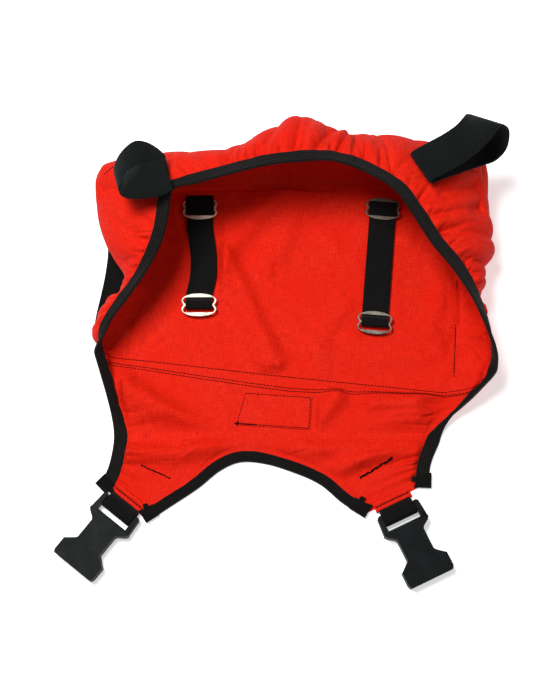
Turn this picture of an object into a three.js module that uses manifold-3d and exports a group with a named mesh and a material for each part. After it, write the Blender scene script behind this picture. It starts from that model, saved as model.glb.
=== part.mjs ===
// Child carrier pouch: a back panel with gathered walls around it, a bound mouth, a seat panel and a
// leg flap whose two tabs end in side-release buckle sockets. Millimetres, +Z up. The pouch lies on
// its back: the origin is the centre of the back panel's underside, +Y points to the carrier's top.
import * as THREE from 'three';
import { mergeVertices } from 'three/addons/utils/BufferGeometryUtils.js';
import Module from 'manifold-3d';

const wasm = await Module();
wasm.setup();

// ---------------------------------------------------------------- driving dimensions
const CLOTH = 1.6; // folded fabric thickness
const BINDING = 2.6; // fold-over elastic, four layers with the cloth inside
const BINDING_WIDTH = 10;
const GAP = 0.5; // room kept between neighbouring pieces
const BINDING_GAP = 3.4; // room between the cloth's edge and the thicker binding
const PANEL_THICKNESS = 2;
const CLOTH_Z = 1.3; // mid-height of cloth that lies flat
const FOLD_Y = -127; // the leg flap's fold line
const FOLD_ROOM = 1.4; // cloth stops this far from the fold line
const LAST_BINDING_ROW = 0.965; // share of the seat edge that the mouth binding covers
const STRAP_WIDTH = 20;
const WEBBING_WIDTH = 25;
const WEBBING = 1.5; // webbing thickness
const STRAP_Z = 4.2; // mid-height of an inner strap
const LABEL = { width: 55, depth: 25, thickness: 0.6, x: -12.5, y: -109, turn: -0.07 };
const STEPS_PER_STATION = 2;
const SECTION_STEPS = 7;
// A wall's shape between its driving points: shares of the way out or in, and up.
const WALL_LOW = { out: 0.62, up: 0.38 }; // between the foot and the bulge
const WALL_SHOULDER = { inward: 0.42, up: 0.72 }; // between the bulge and the mouth

// Around the pouch from the left end of the seam, over the top, to its right end: where a wall meets
// the back panel, its widest point, and the middle of the bound mouth edge.
const WALL_STATIONS = [
  { base: [-113, -70], bulge: [-134, -69, 8], mouth: [-141, -70, 24] },
  { base: [-121, -50], bulge: [-147, -53, 16], mouth: [-134, -51, 38] },
  { base: [-116, -32], bulge: [-136, -33, 25], mouth: [-122, -35, 44] },
  { base: [-110, -16], bulge: [-122, -16, 28], mouth: [-109, -18, 50] },
  { base: [-114, 6], bulge: [-136, 8, 32], mouth: [-97, 4, 60] },
  { base: [-117, 32], bulge: [-144, 37, 35], mouth: [-92, 25, 67] },
  { base: [-107, 57], bulge: [-142, 66, 41], mouth: [-89, 40, 71] },
  { base: [-82, 65], bulge: [-98, 78, 42], mouth: [-72, 45, 73] },
  { base: [-48, 66], bulge: [-46, 81, 44], mouth: [-43, 52, 76] },
  { base: [-18, 66], bulge: [-20, 93, 46], mouth: [-17, 58, 78] },
  { base: [9, 66], bulge: [8, 105, 50], mouth: [7, 61, 78] },
  { base: [38, 66], bulge: [38, 93, 46], mouth: [31, 61, 78] },
  { base: [66, 66], bulge: [66, 93, 42], mouth: [58, 51, 77] },
  { base: [94, 65], bulge: [102, 88, 42], mouth: [78, 38, 75] },
  { base: [119, 54], bulge: [143, 75, 42], mouth: [90, 22, 72] },
  { base: [127, 30], bulge: [147, 40, 36], mouth: [104, 1, 67] },
  { base: [128, 5], bulge: [150, 10, 31], mouth: [118, -15, 62] },
  { base: [128, -20], bulge: [141, -21, 28], mouth: [130, -33, 56] },
  { base: [127, -45], bulge: [143.5, -47, 22], mouth: [140, -55, 49] },
  { base: [124, -72], bulge: [144.5, -73, 15], mouth: [146, -75, 41] },
  { base: [112, -95], bulge: [134, -93, 9], mouth: [145, -89, 33] },
];
// The walls as sewn, each from one station to another.
const WALLS = [
  { name: 'left_wall', from: 0, to: 5 },
  { name: 'left_corner', from: 5, to: 7 },
  { name: 'top_wall', from: 7, to: 13 },
  { name: 'right_corner', from: 13, to: 15 },
  { name: 'right_wall', from: 15, to: 20 },
];
// The free edges of the seat panel between the seam and the fold.
const SEAT_EDGE = {
  left: [[-141, -72, 23], [-140, -82, 20], [-136, -97, 13], [-132, -114, 6], [-130, -125.6, CLOTH_Z]],
  right: [[145, -91, 32], [141, -95, 29], [130, -105, 20], [117, -116, 9], [111, -125.6, CLOTH_Z]],
};
// The leg flap's outline below the fold: outer edge of each leg opening, the two tab ends, the crotch.
const FLAP = {
  leftLeg: [[-130, -131], [-131, -138], [-133, -149], [-137, -159], [-141.5, -163]],
  rightLeg: [[101.5, -164.5], [101, -157], [103, -147], [107, -138], [110, -131]],
  crotch: [[-102, -192], [-86, -181.5], [-66, -168], [-50, -155], [-37, -149.5], [-20, -150.5],
    [0, -156.5], [20, -165.5], [36, -179], [48.5, -187]],
};

const COLOURS = {
  cloth: 0xe8280c, webbing: 0x141616, binding: 0x1b1816, plastic: 0x101414, metal: 0xb8b2a0,
};
const MATERIALS = {
  cloth: new THREE.MeshStandardMaterial({ color: COLOURS.cloth, roughness: 0.8, metalness: 0 }),
  webbing: new THREE.MeshStandardMaterial({ color: COLOURS.webbing, roughness: 0.85, metalness: 0 }),
  binding: new THREE.MeshStandardMaterial({ color: COLOURS.binding, roughness: 0.8, metalness: 0 }),
  plastic: new THREE.MeshStandardMaterial({ color: COLOURS.plastic, roughness: 0.45, metalness: 0 }),
  metal: new THREE.MeshStandardMaterial({ color: COLOURS.metal, roughness: 0.35, metalness: 1 }),
};

const carrier = new THREE.Group();
const vec = (x, y, z = 0) => new THREE.Vector3(x, y, z);
const curveOf = (points, closed = false) => new THREE.CatmullRomCurve3(points, closed, 'centripetal');

function addPiece(name, geometry, material, parent = carrier) {
  const mesh = new THREE.Mesh(geometry, MATERIALS[material]);
  mesh.name = name;
  parent.add(mesh);
  return mesh;
}

// ---------------------------------------------------------------- closed solids from sheets
function geometryOf(vertices, triangles) {
  let volume = 0;
  for (const [a, b, c] of triangles) {
    volume += vertices[a].dot(vertices[b].clone().cross(vertices[c]));
  }
  const order = volume < 0 ? triangles.map(([a, b, c]) => [a, c, b]) : triangles;
  const geometry = new THREE.BufferGeometry();
  const positions = vertices.flatMap((v) => v.toArray());
  geometry.setAttribute('position', new THREE.Float32BufferAttribute(positions, 3));
  geometry.setIndex(order.flat());
  return geometry;
}

// A solid of even thickness about a grid of points; the rows close on themselves when closed is set.
function sheetSolid(grid, thickness, closed = false) {
  const rows = grid.length;
  const columns = grid[0].length;
  const rowAt = (i) => (closed ? (i + rows) % rows : Math.min(rows - 1, Math.max(0, i)));
  const columnAt = (j) => Math.min(columns - 1, Math.max(0, j));
  const normalAt = (i, j) => {
    const along = grid[rowAt(i + 1)][j].clone().sub(grid[rowAt(i - 1)][j]);
    const across = grid[i][columnAt(j + 1)].clone().sub(grid[i][columnAt(j - 1)]);
    return along.cross(across).normalize();
  };
  const vertices = [];
  for (const side of [0.5, -0.5]) {
    for (let i = 0; i < rows; i += 1) {
      for (let j = 0; j < columns; j += 1) {
        vertices.push(grid[i][j].clone().addScaledVector(normalAt(i, j), side * thickness));
      }
    }
  }
  const upper = (i, j) => rowAt(i) * columns + j;
  const lower = (i, j) => rows * columns + upper(i, j);
  const triangles = [];
  const quad = (a, b, c, d) => triangles.push([a, b, c], [a, c, d]);
  const lastRow = closed ? rows : rows - 1;
  for (let i = 0; i < lastRow; i += 1) {
    for (let j = 0; j < columns - 1; j += 1) {
      quad(upper(i, j), upper(i + 1, j), upper(i + 1, j + 1), upper(i, j + 1));
      quad(lower(i, j), lower(i, j + 1), lower(i + 1, j + 1), lower(i + 1, j));
    }
    quad(lower(i, 0), lower(i + 1, 0), upper(i + 1, 0), upper(i, 0));
    const edge = columns - 1;
    quad(upper(i, edge), upper(i + 1, edge), lower(i + 1, edge), lower(i, edge));
  }
  if (!closed) {
    for (let j = 0; j < columns - 1; j += 1) {
      quad(upper(0, j), upper(0, j + 1), lower(0, j + 1), lower(0, j));
      quad(upper(rows - 1, j), lower(rows - 1, j), lower(rows - 1, j + 1), upper(rows - 1, j + 1));
    }
  }
  return geometryOf(vertices, triangles);
}

// A flat strip of webbing: a path of points, each with the direction of the strip's width.
function ribbon(stations, width, options = {}) {
  const { closed = false, steps = stations.length * 3, thickness = WEBBING } = options;
  const centre = curveOf(stations.map((s) => s.at), closed);
  const side = curveOf(stations.map((s) => s.side.clone().multiplyScalar(50)), closed);
  const count = closed ? steps : steps + 1;
  const grid = [];
  for (let i = 0; i < count; i += 1) {
    const t = i / steps;
    const half = side.getPoint(t).normalize().multiplyScalar(width / 2);
    const middle = centre.getPoint(t);
    grid.push([middle.clone().sub(half), middle, middle.clone().add(half)]);
  }
  return sheetSolid(grid, thickness, closed);
}

// Points evenly spaced along a polyline between two distances from its start.
function resample(points, from, to, steps) {
  const lengths = [0];
  for (let i = 1; i < points.length; i += 1) {
    lengths.push(lengths[i - 1] + points[i].distanceTo(points[i - 1]));
  }
  const at = (distance) => {
    let k = 1;
    while (k < points.length - 1 && lengths[k] < distance) k += 1;
    const share = (distance - lengths[k - 1]) / (lengths[k] - lengths[k - 1]);
    return points[k - 1].clone().lerp(points[k], share);
  };
  const result = [];
  for (let i = 0; i <= steps; i += 1) result.push(at(from + ((to - from) * i) / steps));
  return result;
}

const polylineLength = (points) => points.slice(1).reduce((sum, p, i) => sum + p.distanceTo(points[i]), 0);

// A flat plate: an outline raised to a thickness, its underside at a given height.
function plate(shape, bottom, thickness) {
  const settings = { depth: thickness, bevelEnabled: false, curveSegments: 6 };
  return new THREE.ExtrudeGeometry(shape, settings).translate(0, 0, bottom);
}

const shapeOf = (points) => new THREE.Shape(points.map((p) => new THREE.Vector2(p.x, p.y)));

// ---------------------------------------------------------------- booleans
function toSolid(geometry) {
  const bare = geometry.clone();
  bare.deleteAttribute('normal');
  bare.deleteAttribute('uv');
  const merged = mergeVertices(bare, 1e-4);
  return new wasm.Manifold(new wasm.Mesh({
    numProp: 3,
    vertProperties: new Float32Array(merged.attributes.position.array),
    triVerts: new Uint32Array(merged.index.array),
  }));
}

function toGeometry(solid) {
  const { vertProperties, triVerts } = solid.getMesh();
  const geometry = new THREE.BufferGeometry();
  geometry.setAttribute('position', new THREE.BufferAttribute(new Float32Array(vertProperties), 3));
  geometry.setIndex(new THREE.BufferAttribute(new Uint32Array(triVerts), 1));
  return geometry;
}

const boxAt = (x0, x1, y0, y1, z0, z1) => new THREE.BoxGeometry(x1 - x0, y1 - y0, z1 - z0)
  .translate((x0 + x1) / 2, (y0 + y1) / 2, (z0 + z1) / 2);

// ---------------------------------------------------------------- pouch walls
const stationCurve = (pick) => curveOf(WALL_STATIONS.map(pick));
const baseCurve = stationCurve((s) => vec(s.base[0], s.base[1], 1.1));
const bulgeCurve = stationCurve((s) => vec(...s.bulge));
const mouthCurve = stationCurve((s) => vec(...s.mouth));
const lastStation = WALL_STATIONS.length - 1;

// One section of the wall, from the back panel's edge out to the bulge and in to the free mouth edge.
function wallSection(station) {
  const t = station / lastStation;
  const base = baseCurve.getPoint(t);
  const bulge = bulgeCurve.getPoint(t);
  const mouth = mouthCurve.getPoint(t);
  const low = base.clone().lerp(bulge, WALL_LOW.out);
  low.z = THREE.MathUtils.lerp(base.z, bulge.z, WALL_LOW.up);
  const shoulder = bulge.clone().lerp(mouth, WALL_SHOULDER.inward);
  shoulder.z = THREE.MathUtils.lerp(bulge.z, mouth.z, WALL_SHOULDER.up);
  const inward = mouth.clone().sub(shoulder).setLength(BINDING_WIDTH / 2);
  const free = mouth.clone().add(inward);
  return curveOf([base, low, bulge, shoulder, mouth, free]).getPoints(40);
}

function stationsBetween(from, to) {
  const inset = 0.015;
  const list = [];
  const steps = (to - from) * STEPS_PER_STATION;
  for (let i = 0; i <= steps; i += 1) list.push(from + i / STEPS_PER_STATION);
  list[0] += inset;
  list[steps] -= inset;
  return list;
}

for (const { name, from, to } of WALLS) {
  const grid = stationsBetween(from, to).map((station) => {
    const section = wallSection(station);
    return resample(section, 0, polylineLength(section) - BINDING_WIDTH - BINDING_GAP, SECTION_STEPS);
  });
  addPiece(name, sheetSolid(grid, CLOTH), 'cloth');
}

// ---------------------------------------------------------------- back panel
function backPanelOutline() {
  const inset = CLOTH / 2 + GAP;
  const count = 60;
  const outline = [];
  for (let i = 0; i <= count; i += 1) {
    const t = i / count;
    const tangent = baseCurve.getTangent(t);
    const inward = vec(tangent.y, -tangent.x);
    outline.push(baseCurve.getPoint(t).addScaledVector(inward, inset));
  }
  return outline;
}
addPiece('back_panel', plate(shapeOf(backPanelOutline()), 0, PANEL_THICKNESS), 'cloth');

// ---------------------------------------------------------------- seat panel
const seatEdges = {
  left: curveOf(SEAT_EDGE.left.map((p) => vec(...p))),
  right: curveOf(SEAT_EDGE.right.map((p) => vec(...p))),
};
const seamBelow = 1.6; // how far below the seam the seat panel's cloth starts
const wingFoot = 0.86; // where a wing meets the flat cloth at the fold, as a share of the edge's distance

// One row of the seat panel from its left free edge to its right one: two wings that come down to
// the floor, with the flat cloth between them.
function seatRow(v) {
  const wing = (edge, section) => {
    const end = section[section.length - 1];
    const start = section[0];
    const footX = THREE.MathUtils.lerp(start.x, edge.x * wingFoot, v);
    return section.map((point) => {
      const share = (point.x - start.x) / (end.x - start.x);
      const rise = (point.z - start.z) / (end.z - start.z);
      const y = THREE.MathUtils.lerp(point.y - seamBelow, FOLD_Y + FOLD_ROOM, v);
      const endY = THREE.MathUtils.lerp(end.y - seamBelow, FOLD_Y + FOLD_ROOM, v);
      return vec(
        THREE.MathUtils.lerp(footX, edge.x, share),
        y + (edge.y - endY) * share ** 2,
        Math.max(CLOTH_Z, CLOTH_Z + (edge.z - CLOTH_Z) * rise),
      );
    });
  };
  const left = wing(seatEdges.left.getPointAt(v), wallSection(0)).reverse();
  const right = wing(seatEdges.right.getPointAt(v), wallSection(lastStation));
  return [...left, ...right];
}

const SEAT_ROWS = 8;
const seatRows = [];
for (let i = 0; i <= SEAT_ROWS; i += 1) seatRows.push(seatRow(i / SEAT_ROWS));
const seatGrid = seatRows.map((row) => {
  const trim = BINDING_WIDTH + BINDING_GAP;
  return resample(row, trim, polylineLength(row) - trim, 26);
});
addPiece('seat_panel', sheetSolid(seatGrid, CLOTH), 'cloth');

const label = new THREE.Group();
label.position.set(LABEL.x, LABEL.y, CLOTH_Z + CLOTH / 2 + GAP);
label.rotation.z = LABEL.turn;
carrier.add(label);
const labelBox = new THREE.BoxGeometry(LABEL.width, LABEL.depth, LABEL.thickness);
addPiece('label_patch', labelBox.translate(0, 0, LABEL.thickness / 2), 'cloth', label);

// ---------------------------------------------------------------- mouth binding
// One length of elastic: up the left edge of the seat panel, round the mouth, down the right edge.
function mouthBindingGrid() {
  const strip = (points, from, to) => resample(points, from, to, 2);
  const rows = [...seatRows.slice(0, -1), seatRow(LAST_BINDING_ROW)];
  const leftSeat = rows.map((row) => strip(row, 0, BINDING_WIDTH)).reverse();
  const walls = [];
  for (let i = 0; i <= lastStation * STEPS_PER_STATION; i += 1) {
    const section = wallSection(i / STEPS_PER_STATION);
    const length = polylineLength(section);
    walls.push(strip(section, length, length - BINDING_WIDTH));
  }
  const rightSeat = rows.map((row) => {
    const length = polylineLength(row);
    return strip(row, length, length - BINDING_WIDTH);
  });
  return [...leftSeat, ...walls, ...rightSeat];
}
addPiece('mouth_binding', sheetSolid(mouthBindingGrid(), BINDING), 'binding');

// ---------------------------------------------------------------- leg flap, lying flat on the floor
const flat = (points) => points.map(([x, y]) => vec(x, y));
const smooth = (points, steps) => curveOf(points).getPoints(steps);

// The outline offset to one side by a distance, in the plane.
function offset(points, distance) {
  return points.map((point, i) => {
    const before = points[Math.max(0, i - 1)];
    const after = points[Math.min(points.length - 1, i + 1)];
    const along = after.clone().sub(before).normalize();
    return point.clone().add(vec(-along.y, along.x).multiplyScalar(distance));
  });
}

const legSteps = 10;
const crotchSteps = 24;
const leftLeg = smooth(flat(FLAP.leftLeg), legSteps);
const rightLeg = smooth(flat(FLAP.rightLeg), legSteps);
const crotch = smooth(flat(FLAP.crotch), crotchSteps);
const flapBottom = CLOTH_Z - CLOTH / 2;
const bindingBottom = CLOTH_Z - BINDING / 2;

// A strip of binding along an outline, its free edge on the outline itself.
function addBinding(name, outer) {
  const inner = offset(outer, BINDING_WIDTH);
  addPiece(name, plate(shapeOf([...outer, ...inner.reverse()]), bindingBottom, BINDING), 'binding');
}
addBinding('left_leg_binding', leftLeg);
addBinding('right_leg_binding', rightLeg);
addBinding('crotch_binding', crotch.slice(1, -1));

const clothInset = BINDING_WIDTH + GAP;
const flapTop = FOLD_Y - FOLD_ROOM;
const flapOutline = [
  vec(leftLeg[0].x + clothInset, flapTop),
  ...offset(leftLeg, clothInset).slice(1),
  ...offset(crotch, clothInset),
  ...offset(rightLeg, clothInset).slice(0, -1),
  vec(rightLeg[legSteps].x - clothInset, flapTop),
];

// ---------------------------------------------------------------- tabs, webbing and buckle sockets
const TABS = [
  { side: 'left', slit: [-128.3, -188.7], heading: [-0.62, -0.785] },
  { side: 'right', slit: [81.1, -191.8], heading: [0.428, -0.904] },
];
const HEM = { width: 29, depth: 7, thickness: 1.4, from: -11 };
const BUCKLE = {
  length: 56, height: 11, frameHeight: 7, halfFrame: 16.4, halfFoot: 17.4, halfWaist: 10.3, halfMouth: 17.7,
  footAt: 17, waistFrom: 20.6, waistTo: 38, shoulderAt: 43.4, chamfer: 2.4,
  barAt: 5, barRadius: 2.3, slotTo: 12.6, halfSlot: 13.1, slitAt: 10.9,
  mouthHalf: 14.6, mouthHeight: 6.4, mouthFrom: 38.6, guideFrom: 27, guideHalf: 6.5,
};
const barZ = BUCKLE.height / 2;

// The socket lies along +Y from its webbing bar to its mouth, on the plane z = 0.
function buckleSolid() {
  const b = BUCKLE;
  const half = [
    [b.halfFrame - 1.5, 0], [b.halfFrame, 1.5], [b.halfFoot, b.footAt - 2], [b.halfFoot - 1.5, b.footAt],
    [b.halfWaist + 1, b.waistFrom - 0.6], [b.halfWaist, b.waistFrom + 1], [b.halfWaist, b.waistTo - 1],
    [b.halfWaist + 1, b.waistTo + 0.4], [b.halfMouth - 1.5, b.shoulderAt - 1], [b.halfMouth, b.shoulderAt],
    [b.halfMouth, b.length - b.chamfer], [b.halfMouth - b.chamfer / 2, b.length],
  ];
  const outline = [...half, ...half.map(([x, y]) => [-x, y]).reverse()];
  const shape = shapeOf(flat(outline));
  const thick = toSolid(plate(shape, 0, b.height));
  const frameRoom = (b.height - b.frameHeight) / 2;
  const wide = b.halfMouth + 1;
  const aboveFrame = toSolid(boxAt(-wide, wide, -1, b.slotTo + 1.5, b.height - frameRoom, b.height + 1));
  const belowFrame = toSolid(boxAt(-wide, wide, -1, b.slotTo + 1.5, -1, frameRoom));
  const slot = toSolid(boxAt(-b.halfSlot, b.halfSlot, -1, b.slotTo, -1, b.height + 1));
  const midZ = b.height / 2;
  const mouth = toSolid(boxAt(-b.mouthHalf, b.mouthHalf, b.mouthFrom, b.length + 1,
    midZ - b.mouthHeight / 2, midZ + b.mouthHeight / 2));
  const guide = toSolid(boxAt(-b.guideHalf, b.guideHalf, b.guideFrom, b.mouthFrom + 1,
    midZ - b.mouthHeight / 2, midZ + b.mouthHeight / 2));
  const bar = new THREE.CylinderGeometry(b.barRadius, b.barRadius, 2 * b.halfSlot + 2, 14)
    .rotateZ(Math.PI / 2).translate(0, b.barAt, midZ);
  return thick.subtract(aboveFrame).subtract(belowFrame).subtract(slot).subtract(mouth).subtract(guide)
    .add(toSolid(bar));
}

// The tab's webbing leaves the hem, passes over the bar, down through the slot and back underneath.
function tabWebbing() {
  const layer = BUCKLE.barRadius + 0.4 + WEBBING / 2;
  const turn = [];
  for (let i = 0; i <= 6; i += 1) {
    const angle = Math.PI / 2 - (Math.PI * i) / 6;
    turn.push([BUCKLE.barAt + layer * Math.cos(angle), barZ + layer * Math.sin(angle)]);
  }
  const start = HEM.from + HEM.depth + GAP;
  const path = [[start, CLOTH_Z + 2.9], [start + 3.5, barZ + 2.2], ...turn, [start + 4.5, barZ - layer],
    [start + 0.8, barZ - layer]];
  const stations = path.map(([y, z]) => ({ at: vec(0, y, z), side: vec(1, 0, 0) }));
  return ribbon(stations, WEBBING_WIDTH, { steps: 24 });
}

const hemEnd = HEM.from + HEM.depth;
const hemZ = CLOTH_Z + CLOTH / 2 + GAP;
const socket = toGeometry(buckleSolid());
let flapCloth = toSolid(plate(shapeOf(flapOutline), flapBottom, CLOTH));
for (const { side, slit, heading } of TABS) {
  const direction = vec(...heading).normalize();
  const tab = new THREE.Group();
  tab.position.copy(vec(...slit)).addScaledVector(direction, -BUCKLE.slitAt);
  tab.rotation.z = Math.atan2(-direction.x, direction.y);
  carrier.add(tab);
  addPiece(`${side}_buckle`, socket.clone(), 'plastic', tab);
  addPiece(`${side}_tab_webbing`, tabWebbing(), 'webbing', tab);
  const hem = boxAt(-HEM.width / 2, HEM.width / 2, HEM.from, hemEnd, hemZ, hemZ + HEM.thickness);
  addPiece(`${side}_tab_hem`, hem, 'cloth', tab);
  tab.updateMatrix();
  const beyondHem = boxAt(-HEM.width, HEM.width, hemEnd, BUCKLE.length, -1, BUCKLE.height);
  flapCloth = flapCloth.subtract(toSolid(beyondHem.applyMatrix4(tab.matrix)));
}
addPiece('leg_flap', toGeometry(flapCloth), 'cloth');

// ---------------------------------------------------------------- inner straps and their slides
const SLIDE = {
  halfWidth: 13.2, halfNotch: 11.7, halfHeight: 9, lobeFrom: 3.2, lobeTo: 4.6,
  bar: 3.2, side: 1.5, centreBar: 2, thickness: 1.2, pinRoom: 0.3,
};
const SLIDE_ROOM = 0.35; // between a slide and the webbing or cloth beneath it
const STRAPS = [
  { side: 'left', top: [-69.4, 57.2], adjuster: [-69.4, 48.9], end: [-69, -28.5], sway: 3.2 },
  { side: 'right', top: [71.8, 57.2], adjuster: [71, 48.5], end: [63, -42.4], sway: 0 },
];
const plateZ = STRAP_Z + WEBBING / 2 + SLIDE_ROOM; // underside of both kinds of slide

function slideOutline() {
  const s = SLIDE;
  const quarter = [
    [s.halfNotch, 0], [s.halfWidth - 0.5, 1.8], [s.halfWidth, s.lobeFrom], [s.halfWidth - 0.3, s.lobeTo],
    [s.halfWidth - 2.2, 6.6], [s.halfWidth - 6, 8.2], [4, s.halfHeight - 0.2], [0, s.halfHeight],
  ];
  const right = [...quarter.slice(1).map(([x, y]) => [x, -y]).reverse(), ...quarter];
  const left = right.slice(1, -1).map(([x, y]) => [-x, y]).reverse();
  return shapeOf(flat([...right, ...left]));
}

const slotReach = SLIDE.halfHeight - SLIDE.bar;

// The upper half of a slide's opening, from a height up to the straight edge of the outer bar.
function slotHalf(from) {
  const s = SLIDE;
  const reach = s.halfWidth - s.side;
  const quarter = [
    [s.halfNotch - s.side + s.pinRoom, from], [reach, s.lobeFrom], [reach - 0.1, s.lobeTo - 0.2],
    [reach - 1, slotReach - 0.25], [8, slotReach], [0, slotReach],
  ];
  return [...quarter, ...quarter.slice(0, -1).map(([x, y]) => [-x, y]).reverse()];
}

const mirrored = (points) => points.map(([x, y]) => [-x, -y]);

// The adjuster rides along the strap: two bars over it, joined round its edges to one bar beneath.
function adjusterSolid() {
  const ring = slideOutline();
  ring.holes.push(shapeOf(flat([...slotHalf(0.6), ...mirrored(slotHalf(0.6))])));
  const top = toSolid(plate(ring, plateZ, SLIDE.thickness));
  const low = PANEL_THICKNESS + SLIDE_ROOM;
  const half = SLIDE.centreBar / 2;
  const reach = SLIDE.halfNotch + SLIDE.pinRoom;
  const strapRoom = STRAP_WIDTH / 2 + SLIDE.pinRoom;
  const under = toSolid(boxAt(-reach, reach, -half, half, low, low + 0.7));
  const cheeks = [-1, 1].map((sign) => {
    const [x0, x1] = sign < 0 ? [-reach, -strapRoom] : [strapRoom, reach];
    return toSolid(boxAt(x0, x1, -half, half, low, plateZ + 0.4));
  });
  return top.add(under).add(cheeks[0]).add(cheeks[1]);
}

// The end slide is one flat plate with two slots; the lower one is left free.
function endSlide() {
  const outline = slideOutline();
  const half = SLIDE.centreBar / 2;
  outline.holes.push(shapeOf(flat(slotHalf(half))));
  outline.holes.push(shapeOf(flat(mirrored(slotHalf(half)))));
  return plate(outline, plateZ, SLIDE.thickness);
}

// The strap lies under both bars of the adjuster, comes up through the end slide's upper slot, over its
// centre bar, down through the lower slot and ends below the plate.
function strapGeometry({ top, end, sway }) {
  const from = vec(...top);
  const to = vec(...end);
  const length = from.distanceTo(to);
  const down = to.clone().sub(from).normalize();
  const across = vec(-down.y, down.x);
  const midPlate = plateZ + SLIDE.thickness / 2;
  const over = midPlate + SLIDE.thickness / 2 + 0.4 + WEBBING / 2;
  const wrap = SLIDE.centreBar / 2 + 0.7 + WEBBING / 2;
  const path = [[0, STRAP_Z, 0], [10, STRAP_Z, 0], [22, STRAP_Z, 0], [length * 0.42, STRAP_Z, sway * 0.55],
    [length * 0.58, STRAP_Z, sway], [length * 0.75, STRAP_Z, sway * 0.8], [length - 9, STRAP_Z, 0],
    [length - 5.5, STRAP_Z, 0], [length - 1.8, over, 0], [length + 0.9, over, 0],
    [length + wrap, midPlate, 0], [length + 1.6, STRAP_Z - 0.4, 0], [length - 1, STRAP_Z - 0.55, 0]];
  const side = vec(1, 0, 0).addScaledVector(down, -down.x).normalize();
  const stations = path.map(([along, z, swing]) => ({
    at: from.clone().addScaledVector(down, along).addScaledVector(across, swing).setZ(z), side,
  }));
  return ribbon(stations, STRAP_WIDTH, { steps: 44 });
}

for (const strap of STRAPS) {
  const turn = Math.atan2(strap.end[0] - strap.top[0], strap.top[1] - strap.end[1]);
  addPiece(`${strap.side}_strap`, strapGeometry(strap), 'webbing');
  const adjuster = new THREE.Group();
  adjuster.position.set(...strap.adjuster, 0);
  adjuster.rotation.z = turn;
  carrier.add(adjuster);
  addPiece(`${strap.side}_adjuster`, toGeometry(adjusterSolid()), 'metal', adjuster);
  const end = new THREE.Group();
  end.position.set(...strap.end, 0);
  end.rotation.z = turn;
  carrier.add(end);
  addPiece(`${strap.side}_end_slide`, endSlide(), 'metal', end);
}

// ---------------------------------------------------------------- corner loops and the side strap
const station = (x, y, z, sx, sy, sz = 0) => ({ at: vec(x, y, z), side: vec(sx, sy, sz).normalize() });

// Sewn at the outer corner: it lies back over the corner, folds near the mouth, returns on top and
// turns down behind the corner.
const RIGHT_LOOP = [
  station(94, 52, 75.5, 0.55, -0.83), station(103, 56.5, 72, 0.6, -0.8),
  station(113, 61.5, 67.5, 0.6, -0.8),
  station(123, 67, 63, 0.6, -0.8), station(133, 72, 58.5, 0.62, -0.78), station(142, 76, 56, 0.7, -0.7),
  station(147, 80, 61, 0.82, -0.57), station(147.5, 83.5, 69, 0.9, -0.43), station(145, 86, 78, 0.95, -0.3),
  station(139, 86, 85, 0.95, -0.3, -0.08), station(131, 76, 90, 0.65, -0.74, -0.18),
  station(122, 66.5, 92, 0.42, -0.88, -0.22), station(112, 59.5, 91.5, 0.4, -0.88, -0.22),
  station(102, 55, 88, 0.45, -0.86, -0.2), station(92.5, 51.5, 81.5, 0.53, -0.83, -0.1),
];
addPiece('right_loop', ribbon(RIGHT_LOOP, WEBBING_WIDTH, { closed: true, steps: 42 }), 'webbing');

// Both ends are caught together in the seam beside the top wall; the front run turns on its edge at the
// left, and the rear run rises to a ridge and comes back down to the seam.
const LEFT_LOOP = [
  station(-88, 46.5, 79, 0.3, -0.95), station(-94.5, 42.5, 81.5, 0.22, -0.96, -0.15),
  station(-102, 39.2, 85, 0.1, -0.97, -0.22), station(-109, 37.8, 86.5, -0.1, -0.97, -0.1),
  station(-116.5, 37.2, 85, -0.1, -0.93, 0.3), station(-122.5, 38.5, 80.5, 0.12, -0.75, 0.62),
  station(-124.5, 43.5, 77, 0.25, -0.7, 0.65), station(-121.5, 49.3, 77, 0.4, -0.78, 0.45),
  station(-115, 54.3, 80.5, 0.41, -0.91, 0.07), station(-107, 57.7, 84, 0.33, -0.92, -0.2),
  station(-100.5, 57, 82.5, 0.25, -0.93, -0.3), station(-94.5, 54, 79, 0.15, -0.97, -0.25),
  station(-88.5, 50.5, 75.5, 0.2, -0.98, -0.12),
];
addPiece('left_loop', ribbon(LEFT_LOOP, WEBBING_WIDTH, { steps: 36 }), 'webbing');

// It lies on the floor beside the foot of the left wall.
const SIDE_STRAP = [
  station(-131, 34, 1.3, 1, 0.05), station(-129.5, 15, 1.3, 1, 0), station(-131, -4, 1.3, 1, -0.1),
  station(-134, -22, 1.3, 1, -0.15), station(-137, -38, 1.3, 1, -0.15), station(-138.5, -52, 1.3, 1, -0.1),
];
addPiece('side_strap', ribbon(SIDE_STRAP, STRAP_WIDTH, { steps: 14 }), 'webbing');

export default carrier;
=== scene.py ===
"""Child carrier pouch: the looks. Lengths are in millimetres until a mesh is made, then in metres."""
import math

import bmesh
import bpy
import numpy as np
from mathutils import Matrix, Vector


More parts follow.
